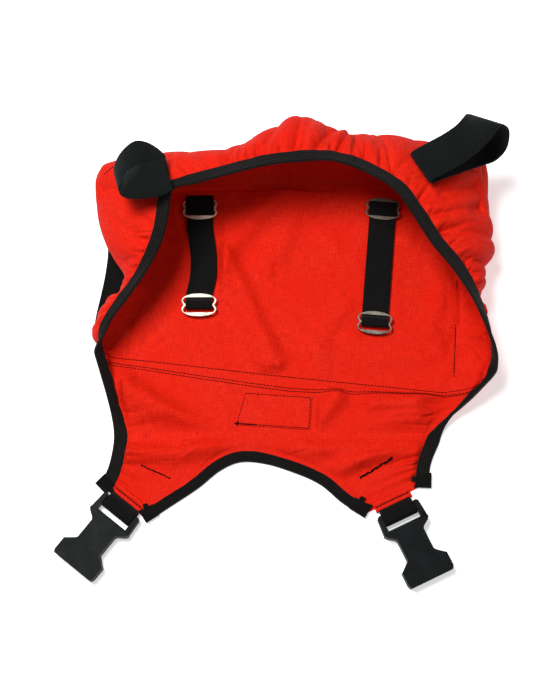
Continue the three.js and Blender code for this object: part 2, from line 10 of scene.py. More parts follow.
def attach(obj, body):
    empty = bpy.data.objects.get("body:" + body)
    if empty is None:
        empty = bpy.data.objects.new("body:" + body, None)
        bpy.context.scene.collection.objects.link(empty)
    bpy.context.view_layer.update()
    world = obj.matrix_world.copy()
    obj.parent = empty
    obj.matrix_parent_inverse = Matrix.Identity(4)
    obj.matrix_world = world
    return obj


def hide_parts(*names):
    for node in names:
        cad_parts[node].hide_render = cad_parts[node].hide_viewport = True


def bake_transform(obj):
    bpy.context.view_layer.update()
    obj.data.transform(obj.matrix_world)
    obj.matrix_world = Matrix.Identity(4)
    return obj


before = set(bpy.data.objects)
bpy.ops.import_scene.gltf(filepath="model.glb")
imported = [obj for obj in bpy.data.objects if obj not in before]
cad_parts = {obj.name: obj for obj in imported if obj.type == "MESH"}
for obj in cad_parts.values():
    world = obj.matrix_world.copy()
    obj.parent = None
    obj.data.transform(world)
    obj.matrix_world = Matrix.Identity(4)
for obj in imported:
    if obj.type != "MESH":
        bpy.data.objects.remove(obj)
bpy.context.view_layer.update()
MM = 0.001

# ---------------------------------------------------------------- dimensions shared with the CAD model
CLOTH_Z = 1.3
FOLD_Y = -127.0
BINDING_WIDTH = 10.0
STRAP_WIDTH = 20.0
WEBBING_WIDTH = 25.0
WEBBING = 1.5
STRAP_Z = 4.2
PANEL_THICKNESS = 2.0
WALL_STATIONS = [
    ((-113, -70), (-134, -69, 8), (-141, -70, 24)),
    ((-121, -50), (-147, -53, 16), (-134, -51, 38)),
    ((-116, -32), (-136, -33, 25), (-122, -35, 44)),
    ((-110, -16), (-122, -16, 28), (-109, -18, 50)),
    ((-114, 6), (-136, 8, 32), (-97, 4, 60)),
    ((-117, 32), (-144, 37, 35), (-92, 25, 67)),
    ((-107, 57), (-142, 66, 41), (-89, 40, 71)),
    ((-82, 65), (-98, 78, 42), (-72, 45, 73)),
    ((-48, 66), (-46, 81, 44), (-43, 52, 76)),
    ((-18, 66), (-20, 93, 46), (-17, 58, 78)),
    ((9, 66), (8, 105, 50), (7, 61, 78)),
    ((38, 66), (38, 93, 46), (31, 61, 78)),
    ((66, 66), (66, 93, 42), (58, 51, 77)),
    ((94, 65), (102, 88, 42), (78, 38, 75)),
    ((119, 54), (143, 75, 42), (90, 22, 72)),
    ((127, 30), (147, 40, 36), (104, 1, 67)),
    ((128, 5), (150, 10, 31), (118, -15, 62)),
    ((128, -20), (141, -21, 28), (130, -33, 56)),
    ((127, -45), (143.5, -47, 22), (140, -55, 49)),
    ((124, -72), (144.5, -73, 15), (146, -75, 41)),
    ((112, -95), (134, -93, 9), (145, -89, 33)),
]
LAST_STATION = len(WALL_STATIONS) - 1
SEAT_EDGE = {
    "left": [(-141, -72, 23), (-140, -82, 20), (-136, -97, 13), (-132, -114, 6), (-130, -125.6, 1.3)],
    "right": [(145, -91, 32), (141, -95, 29), (130, -105, 20), (117, -116, 9), (111, -125.6, 1.3)],
}
LEFT_LEG = [(-130, -127), (-130.3, -132), (-131, -138), (-133, -149), (-137, -159), (-141.5, -163)]
RIGHT_LEG = [(110.5, -127), (109.6, -132), (107, -138), (103, -147), (101, -157), (101.5, -164.5)]
CROTCH = [
    (-102, -192), (-86, -181.5), (-66, -168), (-50, -155), (-37, -149.5), (-20, -150.5),
    (0, -156.5), (20, -165.5), (36, -179), (48.5, -187),
]
TABS = {
    "left": {"slit": (-128.3, -188.7), "heading": (-0.62, -0.785)},
    "right": {"slit": (81.1, -191.8), "heading": (0.428, -0.904)},
}
HEM = {"width": 29.0, "depth": 7.0, "start": -11.0}
BAR = {"at": 5.0, "radius": 2.3, "z": 5.5, "slit": 10.9}
SLIDE = {"half_width": 13.2, "half_notch": 11.7, "half_height": 9.0, "lobe_y": 4.6, "bar": 3.2, "side": 1.5,
         "centre_bar": 2.0, "thickness": 1.2}
STRAPS = {
    "left": {"top": (-69.4, 57.2), "adjuster": (-69.4, 48.9), "end": (-69, -28.5), "sway": 3.2},
    "right": {"top": (71.8, 57.2), "adjuster": (71, 48.5), "end": (63, -42.4), "sway": 0.0},
}
LABEL = {"width": 55.0, "depth": 25.0, "x": -12.5, "y": -109.0, "turn": -0.07}
PLATE_Z = STRAP_Z + WEBBING / 2 + 0.35


# ---------------------------------------------------------------- curves and grids
class Spline:
    """A centripetal Catmull-Rom curve through points; t runs from 0 to 1."""

    def __init__(self, points, closed=False):
        self.points = np.array(points, float)
        self.closed = closed

    def at(self, t):
        p = self.points
        n = len(p)
        t = np.atleast_1d(np.asarray(t, float))
        u = t * (n if self.closed else n - 1)
        k = np.floor(u).astype(int)
        if self.closed:
            w = (u - k)[:, None]
            p0, p1, p2, p3 = (p[(k + d) % n] for d in (-1, 0, 1, 2))
        else:
            k = np.clip(k, 0, n - 2)
            w = (u - k)[:, None]
            padded = np.vstack([2 * p[0] - p[1], p, 2 * p[-1] - p[-2]])
            p0, p1, p2, p3 = (padded[k + d] for d in range(4))
        gaps = []
        for a, b in ((p0, p1), (p1, p2), (p2, p3)):
            gaps.append(np.maximum(((b - a) ** 2).sum(1), 1e-12)[:, None] ** 0.25)
        d0, d1, d2 = gaps
        m1 = ((p1 - p0) / d0 - (p2 - p0) / (d0 + d1) + (p2 - p1) / d1) * d1
        m2 = ((p2 - p1) / d1 - (p3 - p1) / (d1 + d2) + (p3 - p2) / d2) * d1
        c2 = -3 * p1 + 3 * p2 - 2 * m1 - m2
        c3 = 2 * p1 - 2 * p2 + m1 + m2
        return p1 + m1 * w + c2 * w ** 2 + c3 * w ** 3

    def even(self, shares, fine=400):
        """Points at shares of the curve's length."""
        line = self.at(np.linspace(0, 1, fine))
        return along(line, np.asarray(shares) * run(line)[-1])


def run(line):
    """The distance of each point of a line from its start."""
    return np.concatenate([[0], np.cumsum(np.linalg.norm(np.diff(line, axis=0), axis=1))])


def along(line, distances):
    """Points of a line at distances from its start."""
    length = run(line)
    return np.stack([np.interp(distances, length, line[:, k]) for k in range(line.shape[1])], axis=1)


def unit(v):
    return v / np.maximum(np.linalg.norm(v, axis=-1, keepdims=True), 1e-9)


def grid_normals(grid):
    return unit(np.cross(np.gradient(grid, axis=0), np.gradient(grid, axis=1)))


def refine(grid):
    """Doubles a grid both ways with smooth points in between."""
    for axis in (0, 1):
        g = np.moveaxis(grid, axis, 0)
        ends = np.concatenate([2 * g[:1] - g[1:2], g, 2 * g[-1:] - g[-2:-1]])
        between = (9 * (ends[1:-2] + ends[2:-1]) - ends[:-3] - ends[3:]) / 16
        out = np.empty((2 * len(g) - 1,) + g.shape[1:])
        out[0::2] = g
        out[1::2] = between
        grid = np.moveaxis(out, 0, axis)
    return grid


def grid_point(grid, i, j):
    """Points of a grid at fractional rows i and columns j."""
    i = np.clip(np.atleast_1d(i), 0, grid.shape[0] - 1.001)
    j = np.clip(np.atleast_1d(j), 0, grid.shape[1] - 1.001)
    i0, j0 = i.astype(int), j.astype(int)
    a, b = (i - i0)[:, None], (j - j0)[:, None]
    upper = grid[i0, j0] * (1 - b) + grid[i0, j0 + 1] * b
    lower = grid[i0 + 1, j0] * (1 - b) + grid[i0 + 1, j0 + 1] * b
    return upper * (1 - a) + lower * a


def smooth_noise(rng, shape, cells):
    """Soft random hills over a grid, roughly cells of them each way, from -1 to 1."""
    small = rng.uniform(-1, 1, (cells[0] + 3, cells[1] + 3))
    rows = np.linspace(0, cells[0], shape[0]) + 1
    columns = np.linspace(0, cells[1], shape[1]) + 1
    wide = np.stack([np.interp(columns, np.arange(small.shape[1]), line) for line in small])
    return np.stack([np.interp(rows, np.arange(small.shape[0]), line) for line in wide.T], axis=1)


# ---------------------------------------------------------------- cloth that buckles under its spare length
def folds(along_edge, from_edge, pitch, reach, seed, lean=0.35):
    """Heights from 0 to 1 of folds running away from a gathered edge, with sharp valleys between them."""
    rng = np.random.default_rng(seed)
    low, high = along_edge.min(), along_edge.max()
    knots = np.linspace(low, high, int((high - low) / (2.2 * pitch)) + 2)
    warp = np.interp(along_edge, knots, rng.uniform(-0.3, 0.3, len(knots)))
    slant = np.interp(along_edge, knots, rng.uniform(-lean, lean, len(knots)))
    phase = (along_edge + slant * from_edge - low) / pitch + warp + 3
    each = np.clip(phase.astype(int), 0, None)
    height = rng.uniform(0.45, 1.2, each.max() + 1)[each]
    length = reach * rng.uniform(0.5, 1.5, each.max() + 1)[each]
    return height * np.abs(np.sin(np.pi * phase)) ** 0.8 * np.exp(-(np.maximum(from_edge, 0) / length) ** 1.4)


def settle(grid, free, spare, steps, seed, cap=6.0, stiff=(0.25, 0.12), gravity=0.0, floor=None, push=0.35):
    """Lets a grid of cloth move until its spare length is taken up.

    free is how freely each point moves, from 0 to 1. spare is the pair of shares by which the cloth is
    longer than the grid, down its rows and across its columns. cap limits how far a point moves.
    """
    rows, columns = grid.shape[:2]
    index = np.arange(rows * columns).reshape(rows, columns)
    start = grid.reshape(-1, 3).copy()
    weight = free.reshape(-1)
    down, across = (np.broadcast_to(s, free.shape).reshape(-1) for s in spare)

    links = []

    def link(di, dj, strength):
        first = index[: rows - di, max(0, -dj): columns - max(0, dj)]
        second = first + di * columns + dj
        if di:
            colour = (np.arange(first.shape[0]) // di % 2)[:, None] + 0 * first
        else:
            colour = (np.arange(first.shape[1]) // dj % 2)[None, :] + 0 * first
        for wanted in (0, 1):
            a, b = first[colour == wanted], second[colour == wanted]
            live = (weight[a] + weight[b]) > 0
            a, b = a[live], b[live]
            if di and dj:
                growth = (down[a] + down[b] + across[a] + across[b]) / 4
            else:
                growth = (down[a] + down[b]) / 2 if di else (across[a] + across[b]) / 2
            rest = np.linalg.norm(start[b] - start[a], axis=1) * (1 + growth)
            total = weight[a] + weight[b]
            links.append((a, b, rest, (strength * weight[a] / total)[:, None],
                          (strength * weight[b] / total)[:, None]))

    link(1, 0, 0.9)
    link(0, 1, 0.9)
    link(1, 1, 0.35)
    link(1, -1, 0.35)
    for reach, strength in zip((2, 4), stiff):
        link(reach, 0, strength)
        link(0, reach, strength)

    rng = np.random.default_rng(seed)
    bumps = smooth_noise(rng, (rows, columns), (rows // 9, columns // 9)) * push
    bumps += smooth_noise(rng, (rows, columns), (rows // 20, columns // 14)) * push
    points = start + (grid_normals(grid) * (bumps * free)[..., None]).reshape(-1, 3)
    speed = np.zeros_like(points)
    for _ in range(steps):
        before = points.copy()
        points = points + speed * 0.9
        points[:, 2] -= gravity * weight
        for a, b, rest, share_a, share_b in links:
            gap = points[b] - points[a]
            length = np.sqrt(np.einsum("ij,ij->i", gap, gap)) + 1e-9
            fix = gap * ((length - rest) / length)[:, None]
            points[a] += share_a * fix
            points[b] -= share_b * fix
        moved = points - start
        distance = np.linalg.norm(moved, axis=1)
        points = start + moved * np.minimum(1, cap / np.maximum(distance, 1e-6))[:, None]
        if floor is not None:
            points[:, 2] = np.maximum(points[:, 2], floor)
        speed = points - before
    return points.reshape(grid.shape)


# ---------------------------------------------------------------- meshes
def place_object(name, data):
    """A new object in the scene that holds a mesh, curve, light or camera."""
    obj = bpy.data.objects.new(name, data)
    bpy.context.scene.collection.objects.link(obj)
    return obj


def shade_smooth(mesh):
    mesh.polygons.foreach_set("use_smooth", [True] * len(mesh.polygons))


def stand_for(obj, body, slot, *nodes):
    """Rides a piece on a body, in place of CAD nodes; the slot argument is not used."""
    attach(obj, body)
    if nodes:
        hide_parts(*nodes)
    return obj


def add_mesh(name, vertices, faces, material, uvs=None):
    mesh = bpy.data.meshes.new(name)
    mesh.from_pydata((np.asarray(vertices) * MM).tolist(), [], [tuple(int(i) for i in f) for f in faces])
    if uvs is not None:
        layer = mesh.uv_layers.new(name="UVMap")
        loops = np.asarray(uvs, float)
        if len(loops) == len(vertices):
            order = np.empty(len(mesh.loops), int)
            mesh.loops.foreach_get("vertex_index", order)
            loops = loops[order]
        layer.data.foreach_set("uv", (loops * MM).astype(np.float32).ravel())
    shade_smooth(mesh)
    mesh.materials.append(material)
    mesh.update()
    return place_object(name, mesh)


def grid_faces(rows, columns):
    index = np.arange(rows * columns).reshape(rows, columns)
    a, b = index[:-1, :-1], index[:-1, 1:]
    c, d = index[1:, 1:], index[1:, :-1]
    return np.stack([a.ravel(), b.ravel(), c.ravel(), d.ravel()], axis=1)


def cloth_mesh(name, grid, uv, material):
    """A sheet from a grid, with its cloth coordinates in millimetres."""
    faces = grid_faces(*grid.shape[:2])
    return add_mesh(name, grid.reshape(-1, 3), faces, material, uv.reshape(-1, 2))


def tube_mesh(name, rings, uv, material, closed=False):
    """A closed skin over rings of points; the ends are capped unless the rings join."""
    rows, columns = rings.shape[:2]
    index = np.arange(rows * columns).reshape(rows, columns)
    ring_after = np.concatenate([index, index[:, :1]], axis=1)
    lines = np.concatenate([ring_after, ring_after[:1]]) if closed else ring_after
    a, b, c, d = lines[:-1, :-1], lines[:-1, 1:], lines[1:, 1:], lines[1:, :-1]
    faces = [tuple(f) for f in np.stack([a.ravel(), b.ravel(), c.ravel(), d.ravel()], axis=1)]
    u = np.concatenate([uv, uv[:, :1]], axis=1)
    u[:, -1, 1] = u[:, -2, 1] + np.abs(u[:, -2, 1] - u[:, -3, 1])
    if closed:
        extra = u[:1].copy()
        extra[..., 0] = 2 * u[-1, :, 0] - u[-2, :, 0]
        u = np.concatenate([u, extra])
    corners = np.stack([u[:-1, :-1], u[:-1, 1:], u[1:, 1:], u[1:, :-1]], axis=2).reshape(-1, 2)
    loops = [corners]
    if not closed:
        faces.append(tuple(index[0][::-1]))
        faces.append(tuple(index[-1]))
        loops += [uv[0][::-1], uv[-1]]
    return add_mesh(name, rings.reshape(-1, 3), faces, material, np.concatenate(loops))


def join(name, objects):
    """One object from several with the same material."""
    build = bmesh.new()
    for obj in objects:
        build.from_mesh(obj.data)
    mesh = bpy.data.meshes.new(name)
    build.to_mesh(mesh)
    build.free()
    for material in objects[0].data.materials:
        mesh.materials.append(material)
    for obj in objects:
        bpy.data.objects.remove(obj)
    return place_object(name, mesh)


# ---------------------------------------------------------------- materials
class Nodes:
    """Short calls for building a material's node tree."""

    def __init__(self, name):
        self.material = bpy.data.materials.new(name)
        self.material.use_nodes = True
        self.tree = self.material.node_tree
        self.shader = self.tree.nodes["Principled BSDF"]

    def add(self, kind, **settings):
        node = self.tree.nodes.new(kind)
        for key, value in settings.items():
            setattr(node, key, value)
        return node

    def join(self, source, target):
        self.tree.links.new(source, target)

    def put(self, socket, value):
        if isinstance(value, bpy.types.NodeSocket):
            self.join(value, socket)
        else:
            socket.default_value = value

    def math(self, operation, a, b=0.0):
        node = self.add("ShaderNodeMath", operation=operation)
        self.put(node.inputs[0], a)
        self.put(node.inputs[1], b)
        return node.outputs[0]

    def uv(self, scale):
        """The cloth coordinates, scaled; they are in metres."""
        source = self.add("ShaderNodeUVMap", uv_map="UVMap")
        mapping = self.add("ShaderNodeMapping")
        self.join(source.outputs[0], mapping.inputs["Vector"])
        mapping.inputs["Scale"].default_value = scale
        return mapping.outputs[0]

    def place(self, scale):
        source = self.add("ShaderNodeTexCoord")
        mapping = self.add("ShaderNodeMapping")
        self.join(source.outputs["Object"], mapping.inputs["Vector"])
        mapping.inputs["Scale"].default_value = scale
        return mapping.outputs[0]

    def noise(self, vector, detail=2.0, roughness=0.5):
        node = self.add("ShaderNodeTexNoise")
        self.join(vector, node.inputs["Vector"])
        node.inputs["Scale"].default_value = 1.0
        node.inputs["Detail"].default_value = detail
        node.inputs["Roughness"].default_value = roughness
        return node.outputs[0]

    def stretch(self, value, low, high, out_low=0.0, out_high=1.0):
        node = self.add("ShaderNodeMapRange")
        self.join(value, node.inputs[0])
        for socket, number in zip(list(node.inputs)[1:5], (low, high, out_low, out_high)):
            socket.default_value = number
        return node.outputs[0]

    def mix(self, share, first, second):
        node = self.add("ShaderNodeMix", data_type="RGBA")
        self.put(node.inputs[0], share)
        self.put(node.inputs[6], first)
        self.put(node.inputs[7], second)
        return node.outputs[2]

    def bump(self, height, strength, distance):
        node = self.add("ShaderNodeBump")
        node.inputs["Strength"].default_value = strength
        node.inputs["Distance"].default_value = distance
        self.join(height, node.inputs["Height"])
        return node.outputs[0]

    def finish(self, colour, roughness, normal, **fixed):
        self.put(self.shader.inputs["Base Color"], colour)
        self.put(self.shader.inputs["Roughness"], roughness)
        if normal is not None:
            self.join(normal, self.shader.inputs["Normal"])
        for name, value in fixed.items():
            self.shader.inputs[name.replace("_", " ")].default_value = value
        return self.material


def waves(nodes, vector, pitch_u, pitch_v):
    """Raised threads over and under one another: crests of both directions in a plain weave."""
    parts = nodes.add("ShaderNodeSeparateXYZ")
    nodes.join(vector, parts.inputs[0])
    u = nodes.math("SINE", nodes.math("MULTIPLY", parts.outputs[0], 2 * math.pi / pitch_u))
    v = nodes.math("SINE", nodes.math("MULTIPLY", parts.outputs[1], 2 * math.pi / pitch_v))
    return nodes.math("MULTIPLY", u, v), u, v


def cloth_material(name, base, dark, light):
    """Slubby plain-woven cloth with a faint grid of heavier threads."""
    n = Nodes(name)
    flat = n.uv((1000, 1000, 1000))
    weave, _, _ = waves(n, flat, 0.7, 0.7)
    slub_u = n.noise(n.uv((140, 1500, 1)), detail=3.0, roughness=0.65)
    slub_v = n.noise(n.uv((1500, 140, 1)), detail=3.0, roughness=0.65)
    slubs = n.math("ADD", slub_u, slub_v)
    broad = n.noise(n.uv((26, 26, 26)), detail=3.0)
    tone = n.stretch(slubs, 0.7, 1.3)
    colour = n.mix(tone, dark, light)
    colour = n.mix(n.stretch(broad, 0.35, 0.7, 0.0, 0.55), colour, base)
    height = n.math("ADD", n.math("MULTIPLY", weave, 0.25), slubs)
    normal = n.bump(height, 0.35, 0.0004)
    roughness = n.stretch(broad, 0.3, 0.7, 0.72, 0.86)
    return n.finish(colour, roughness, normal, Specular_IOR_Level=0.12)


def webbing_material(name, base, light, rib=1.5):
    """Flat narrow webbing: ribs across the strap, each made of fine slanting floats."""
    n = Nodes(name)
    flat = n.uv((1000, 1000, 1000))
    weave, across, lengthwise = waves(n, flat, rib, rib * 0.8)
    fibres = n.noise(n.uv((2600, 700, 1)), detail=3.0)
    wear = n.noise(n.uv((60, 60, 60)), detail=4.0)
    height = n.math("ADD", n.math("MULTIPLY", weave, 0.6), n.math("ADD", across, fibres))
    normal = n.bump(height, 0.6, 0.0003)
    # Colour follows the relief: lighter on the raised ribs and darker in the grooves, painted highlight and
    # shade, times a random wear pattern
    tone = n.math("MULTIPLY", n.stretch(height, -0.8, 2.0), n.stretch(wear, 0.3, 0.7, 0.5, 1.0))
    colour = n.mix(tone, base, light)
    return n.finish(colour, n.stretch(fibres, 0.3, 0.7, 0.62, 0.85), normal, Sheen_Weight=0.03,
                    Sheen_Roughness=0.45, Specular_IOR_Level=0.10)


def binding_material(name, base, light):
    """Fold-over elastic: fine ribs across its length and cords along it."""
    n = Nodes(name)
    flat = n.uv((1000, 1000, 1000))
    _, ribs, cords = waves(n, flat, 0.95, 2.1)
    fibres = n.noise(n.uv((700, 2400, 1)), detail=3.0)
    wear = n.noise(n.uv((80, 80, 80)), detail=3.0)
    raised_ribs = n.math("ADD", n.math("MULTIPLY", ribs, 0.35), fibres)
    height = n.math("ADD", raised_ribs, n.math("MULTIPLY", cords, 0.6))
    normal = n.bump(height, 0.7, 0.0005)
    # Colour follows the relief: lighter on the raised ribs and cords and darker in the grooves, painted glints
    # and shade, times a random wear pattern
    tone = n.math("MULTIPLY", n.stretch(height, 0.0, 1.5), n.stretch(wear, 0.3, 0.7, 0.45, 1.0))
    return n.finish(n.mix(tone, base, light), n.stretch(fibres, 0.3, 0.7, 0.55, 0.75), normal,
                    Sheen_Weight=0.03, Sheen_Roughness=0.45, Specular_IOR_Level=0.14)


def plastic_material():
    """Moulded acetal with a fine matt grain, rubbed smoother in places."""
    n = Nodes("black_plastic")
    grain = n.noise(n.place((1500, 1500, 1500)), detail=3.0, roughness=0.6)
    rubbed = n.noise(n.place((90, 90, 90)), detail=4.0)
    scratches = n.noise(n.place((60, 900, 60)), detail=4.0)
    normal = n.bump(n.math("ADD", grain, n.math("MULTIPLY", scratches, 0.4)), 0.25, 0.0002)
    colour = n.mix(n.stretch(rubbed, 0.35, 0.7), (0.0020, 0.0032, 0.0032, 1), (0.0058, 0.0080, 0.0080, 1))
    return n.finish(colour, n.stretch(rubbed, 0.3, 0.7, 0.45, 0.6), normal, Specular_IOR_Level=0.07)


def metal_material(name, base, worn, rough):
    """Stamped nickel-plated steel, brushed and a little tarnished."""
    n = Nodes(name)
    brushed = n.noise(n.place((400, 4000, 400)), detail=3.0)
    stains = n.noise(n.place((260, 260, 260)), detail=4.0)
    normal = n.bump(brushed, 0.15, 0.0001)
    colour = n.mix(n.stretch(stains, 0.4, 0.65), base, worn)
    return n.finish(colour, n.stretch(stains, 0.3, 0.7, rough, rough + 0.18), normal, Metallic=1.0)


def thread_material(name, base, light):
    """Twisted sewing thread."""
    n = Nodes(name)
    twist = n.noise(n.place((2200, 2200, 2200)), detail=2.0)
    normal = n.bump(twist, 0.5, 0.0001)
    colour = n.mix(n.stretch(twist, 0.35, 0.65), base, light)
    return n.finish(colour, n.stretch(twist, 0.3, 0.7, 0.7, 0.9), normal, Specular_IOR_Level=0.05)


CLOTH = cloth_material("orange_cloth", (0.62, 0.0080, 0.0009, 1), (0.44, 0.0024, 0.0004, 1),
                       (0.78, 0.0200, 0.0032, 1))
WEB = webbing_material("black_webbing", (0.0010, 0.0011, 0.0011, 1), (0.0060, 0.0062, 0.0060, 1))
LOOP_WEB = webbing_material("loop_webbing", (0.0016, 0.0024, 0.0024, 1), (0.0085, 0.0110, 0.0108, 1), rib=1.3)
BIND = binding_material("black_binding", (0.0018, 0.0015, 0.0014, 1), (0.0120, 0.0100, 0.0090, 1))
PLASTIC = plastic_material()
METAL = metal_material("slide_metal_bright", (0.66, 0.62, 0.52, 1), (0.50, 0.47, 0.39, 1), 0.52)
# The right strap's slides take a much darker copy of the same metal: painted shade
SHADED_SLIDE_METAL = metal_material("slide_metal_dull", (0.17, 0.15, 0.125, 1), (0.10, 0.085, 0.070, 1), 0.42)
THREAD = thread_material("dark_thread", (0.006, 0.0015, 0.0015, 1), (0.020, 0.004, 0.004, 1))


# ---------------------------------------------------------------- pouch walls
base_curve = Spline([(b[0], b[1], 1.1) for b, _, _ in WALL_STATIONS])
bulge_curve = Spline([bulge for _, bulge, _ in WALL_STATIONS])
mouth_curve = Spline([mouth for _, _, mouth in WALL_STATIONS])


def wall_section(station):
    """The wall from the back panel's edge, out to the bulge and in to the free mouth edge."""
    t = station / LAST_STATION
    base, bulge, mouth = (curve.at(t)[0] for curve in (base_curve, bulge_curve, mouth_curve))
    low = base + (bulge - base) * 0.62
    low[2] = base[2] + (bulge[2] - base[2]) * 0.38
    shoulder = bulge + (mouth - bulge) * 0.42
    shoulder[2] = bulge[2] + (mouth[2] - bulge[2]) * 0.72
    free = mouth + unit(mouth - shoulder) * BINDING_WIDTH / 2
    foot = base + (bulge - base) * 0.22
    foot[2] = base[2] + (bulge[2] - base[2]) * 0.07
    return Spline([base, foot, low, bulge, shoulder, mouth, free]).at(np.linspace(0, 1, 49))


def even_stations(count):
    """Stations spaced evenly along the wall, by the mean of its base, bulge and mouth lengths."""
    t = np.linspace(0, 1, 600)
    length = sum(run(curve.at(t)) for curve in (base_curve, bulge_curve, mouth_curve))
    return np.interp(np.linspace(0, length[-1], count), length, t) * LAST_STATION


WALL_ROWS, WALL_COLUMNS = 401, 45
CLOTH_END = 3.0  # the cloth stops this far inside the folded binding
stations = even_stations(WALL_ROWS)
sections = [wall_section(s) for s in stations]
wall_grid = np.stack([along(s, np.linspace(0, run(s)[-1] - CLOTH_END, WALL_COLUMNS)) for s in sections])


def lengths_down(grid):
    return np.concatenate([np.zeros((1, grid.shape[1])),
                           np.cumsum(np.linalg.norm(np.diff(grid, axis=0), axis=2), axis=0)])


def lengths_across(grid):
    return np.concatenate([np.zeros((grid.shape[0], 1)),
                           np.cumsum(np.linalg.norm(np.diff(grid, axis=1), axis=2), axis=1)], axis=1)


def bell(x, centre, width):
    return np.exp(-((x - centre) / width) ** 2)


def from_path(grid, path):
    """The distance, seen from above, of each point of a grid from a path of points."""
    best = np.full(grid.shape[:2], np.inf)
    for (ax, ay), (bx, by) in zip(path[:-1], path[1:]):
        step = np.array([bx - ax, by - ay])
        offset = grid[..., :2] - (ax, ay)
        share = np.clip((offset @ step) / (step @ step), 0, 1)
        best = np.minimum(best, np.linalg.norm(offset - share[..., None] * step, axis=2))
    return best


RIGHT_CORNER, LEFT_CORNER = 14, 6  # the stations at the pouch's two outer corners
# Places on the wall are a station and a share of the way from the back panel to the mouth.
DARTS = [
    [(RIGHT_CORNER - 0.25, 0.66), (RIGHT_CORNER, 0.62), (RIGHT_CORNER + 0.25, 0.55)],
    [(LEFT_CORNER - 0.2, 0.55), (LEFT_CORNER, 0.60), (LEFT_CORNER + 0.2, 0.65)],
]
DENTS = [  # path, depth (a bump when negative), width
    ([(RIGHT_CORNER - 0.1, 0.65), (RIGHT_CORNER, 0.55)], -3.6, 9.0),
    ([(RIGHT_CORNER + 0.1, 0.8), (RIGHT_CORNER + 0.3, 0.7), (RIGHT_CORNER + 0.5, 0.55)], 3.6, 4.0),
    ([(LEFT_CORNER - 0.6, 0.5), (LEFT_CORNER - 0.6, 0.65), (LEFT_CORNER - 0.6, 0.8)], 2.8, 4.5),
    ([(LEFT_CORNER, 0.5), (LEFT_CORNER, 0.7)], -1.6, 6.0),
    ([(RIGHT_CORNER + 1, 0.4), (RIGHT_CORNER + 1, 0.6)], 3.5, 5.0),
]


def wall_path(marks):
    """Seen from above, the points of the wall at the given stations and shares."""
    rows = [int(np.argmin(np.abs(stations - station))) for station, _ in marks]
    columns = [round(share * (WALL_COLUMNS - 1)) for _, share in marks]
    return [tuple(wall_grid[row, column, :2]) for row, column in zip(rows, columns)]


dart_paths = [wall_path(marks) for marks in DARTS]
outer = np.linspace(0, 1, WALL_COLUMNS) > 0.48
wall_normals = grid_normals(wall_grid)  # these face into the pouch
for marks, depth, width in DENTS:
    push = depth * np.exp(-(from_path(wall_grid, wall_path(marks)) / width) ** 2) * outer
    wall_grid = wall_grid + wall_normals * push[..., None]

wall_across = lengths_across(wall_grid)
to_mouth = wall_across[:, -1:] - wall_across  # distance left to the cloth's bound edge
bound = BINDING_WIDTH - CLOTH_END
station_of = stations[:, None]
fullness = 0.08 + 0.06 * bell(station_of, 10.5, 3.2) + 0.08 * bell(station_of, 16.5, 2.6)
fullness += 0.05 * bell(station_of, 4.0, 1.6) + 0.08 * bell(station_of, 8.4, 0.8)
gather = fullness * np.exp(-np.maximum(to_mouth - bound, 0) / 14) + 0.015
wall_free = np.clip((to_mouth - bound) / 2.5, 0, 1) * np.clip(wall_across / 6, 0, 1)
wall_free = wall_free * np.clip(np.minimum(stations, LAST_STATION - stations) / 0.2, 0, 1)[:, None]
mouth_run = lengths_down(wall_grid)[:, -1:] + 0 * wall_across
puckered = bell(station_of, 8.5, 0.8) + 0.8 * bell(station_of, 11.4, 1.0) + 0.7 * bell(station_of, 3.6, 1.2)
puckered += bell(station_of, 16.3, 1.0) + 0.6 * bell(station_of, 14.0, 0.7) + 0.06
creased = 0.5 + bell(station_of, 11, 2.2) + bell(station_of, 15.6, 1.5) + 0.5 * bell(station_of, 4.2, 1.5)
from_mouth = to_mouth - bound
wall_folds = 3.6 * puckered * folds(mouth_run, from_mouth, 6.0, 9, seed=31)
wall_folds += 4.6 * creased * folds(mouth_run, from_mouth, 12, 22, seed=38, lean=0.7)
wall_folds += 5.5 * creased * folds(mouth_run, from_mouth, 25, 46, seed=33, lean=0.6)


def average_weights(reach):
    """The weights of a soft moving average that looks this many places each way."""
    weights = np.hanning(2 * reach + 3)[1:-1]
    return weights / weights.sum()


def level(heights, reach):
    """Heights less their moving average down the rows, so that folds go both ways."""
    kernel = average_weights(reach)
    padded = np.pad(heights, ((reach, reach), (0, 0)), mode="edge")
    return heights - np.stack([np.convolve(column, kernel, mode="valid") for column in padded.T], axis=1)


wall_folded = wall_grid - grid_normals(wall_grid) * (level(wall_folds, 14) * wall_free)[..., None]
wall_cloth = settle(wall_folded, wall_free, (0.15 * gather, 0.004), 30, seed=11, cap=2.5, stiff=(0.04, 0.01),
                    push=0.3)

wall_uv = np.stack([lengths_down(wall_grid).mean(axis=1)[:, None] + 0 * wall_across, wall_across], axis=2)
wall_cloth, wall_uv = refine(wall_cloth), refine(wall_uv)
fine_stations = np.interp(np.arange(len(wall_cloth)) / 2, np.arange(WALL_ROWS), stations)

WALLS = {
    "left_wall": (0, 5, (0.124, 0.070)),
    "left_corner": (5, 7, (0.070, 0.095)),
    "top_wall": (7, 13, (0.185, 0.105)),
    "right_corner": (13, 15, (0.075, 0.110)),
    "right_wall": (15, 20, (0.135, 0.085)),
}


def spread(name, grid, uv, node, body="pouch"):
    """A sheet of cloth that stands for a CAD node."""
    obj = stand_for(cloth_mesh(name, grid, uv, CLOTH), body, "cloth", node)


for wall_name, (first, last, flat_size) in WALLS.items():
    inside = np.where((fine_stations >= first - 1e-6) & (fine_stations <= last + 1e-6))[0]
    rows = slice(max(0, inside[0] - 1), inside[-1] + 1)
    spread(f"{wall_name}_cloth", wall_cloth[rows], wall_uv[rows], wall_name)

# ---------------------------------------------------------------- back panel
LEFT_SIDE, RIGHT_SIDE = 6.4, 13.6  # stations at the back panel's upper corners


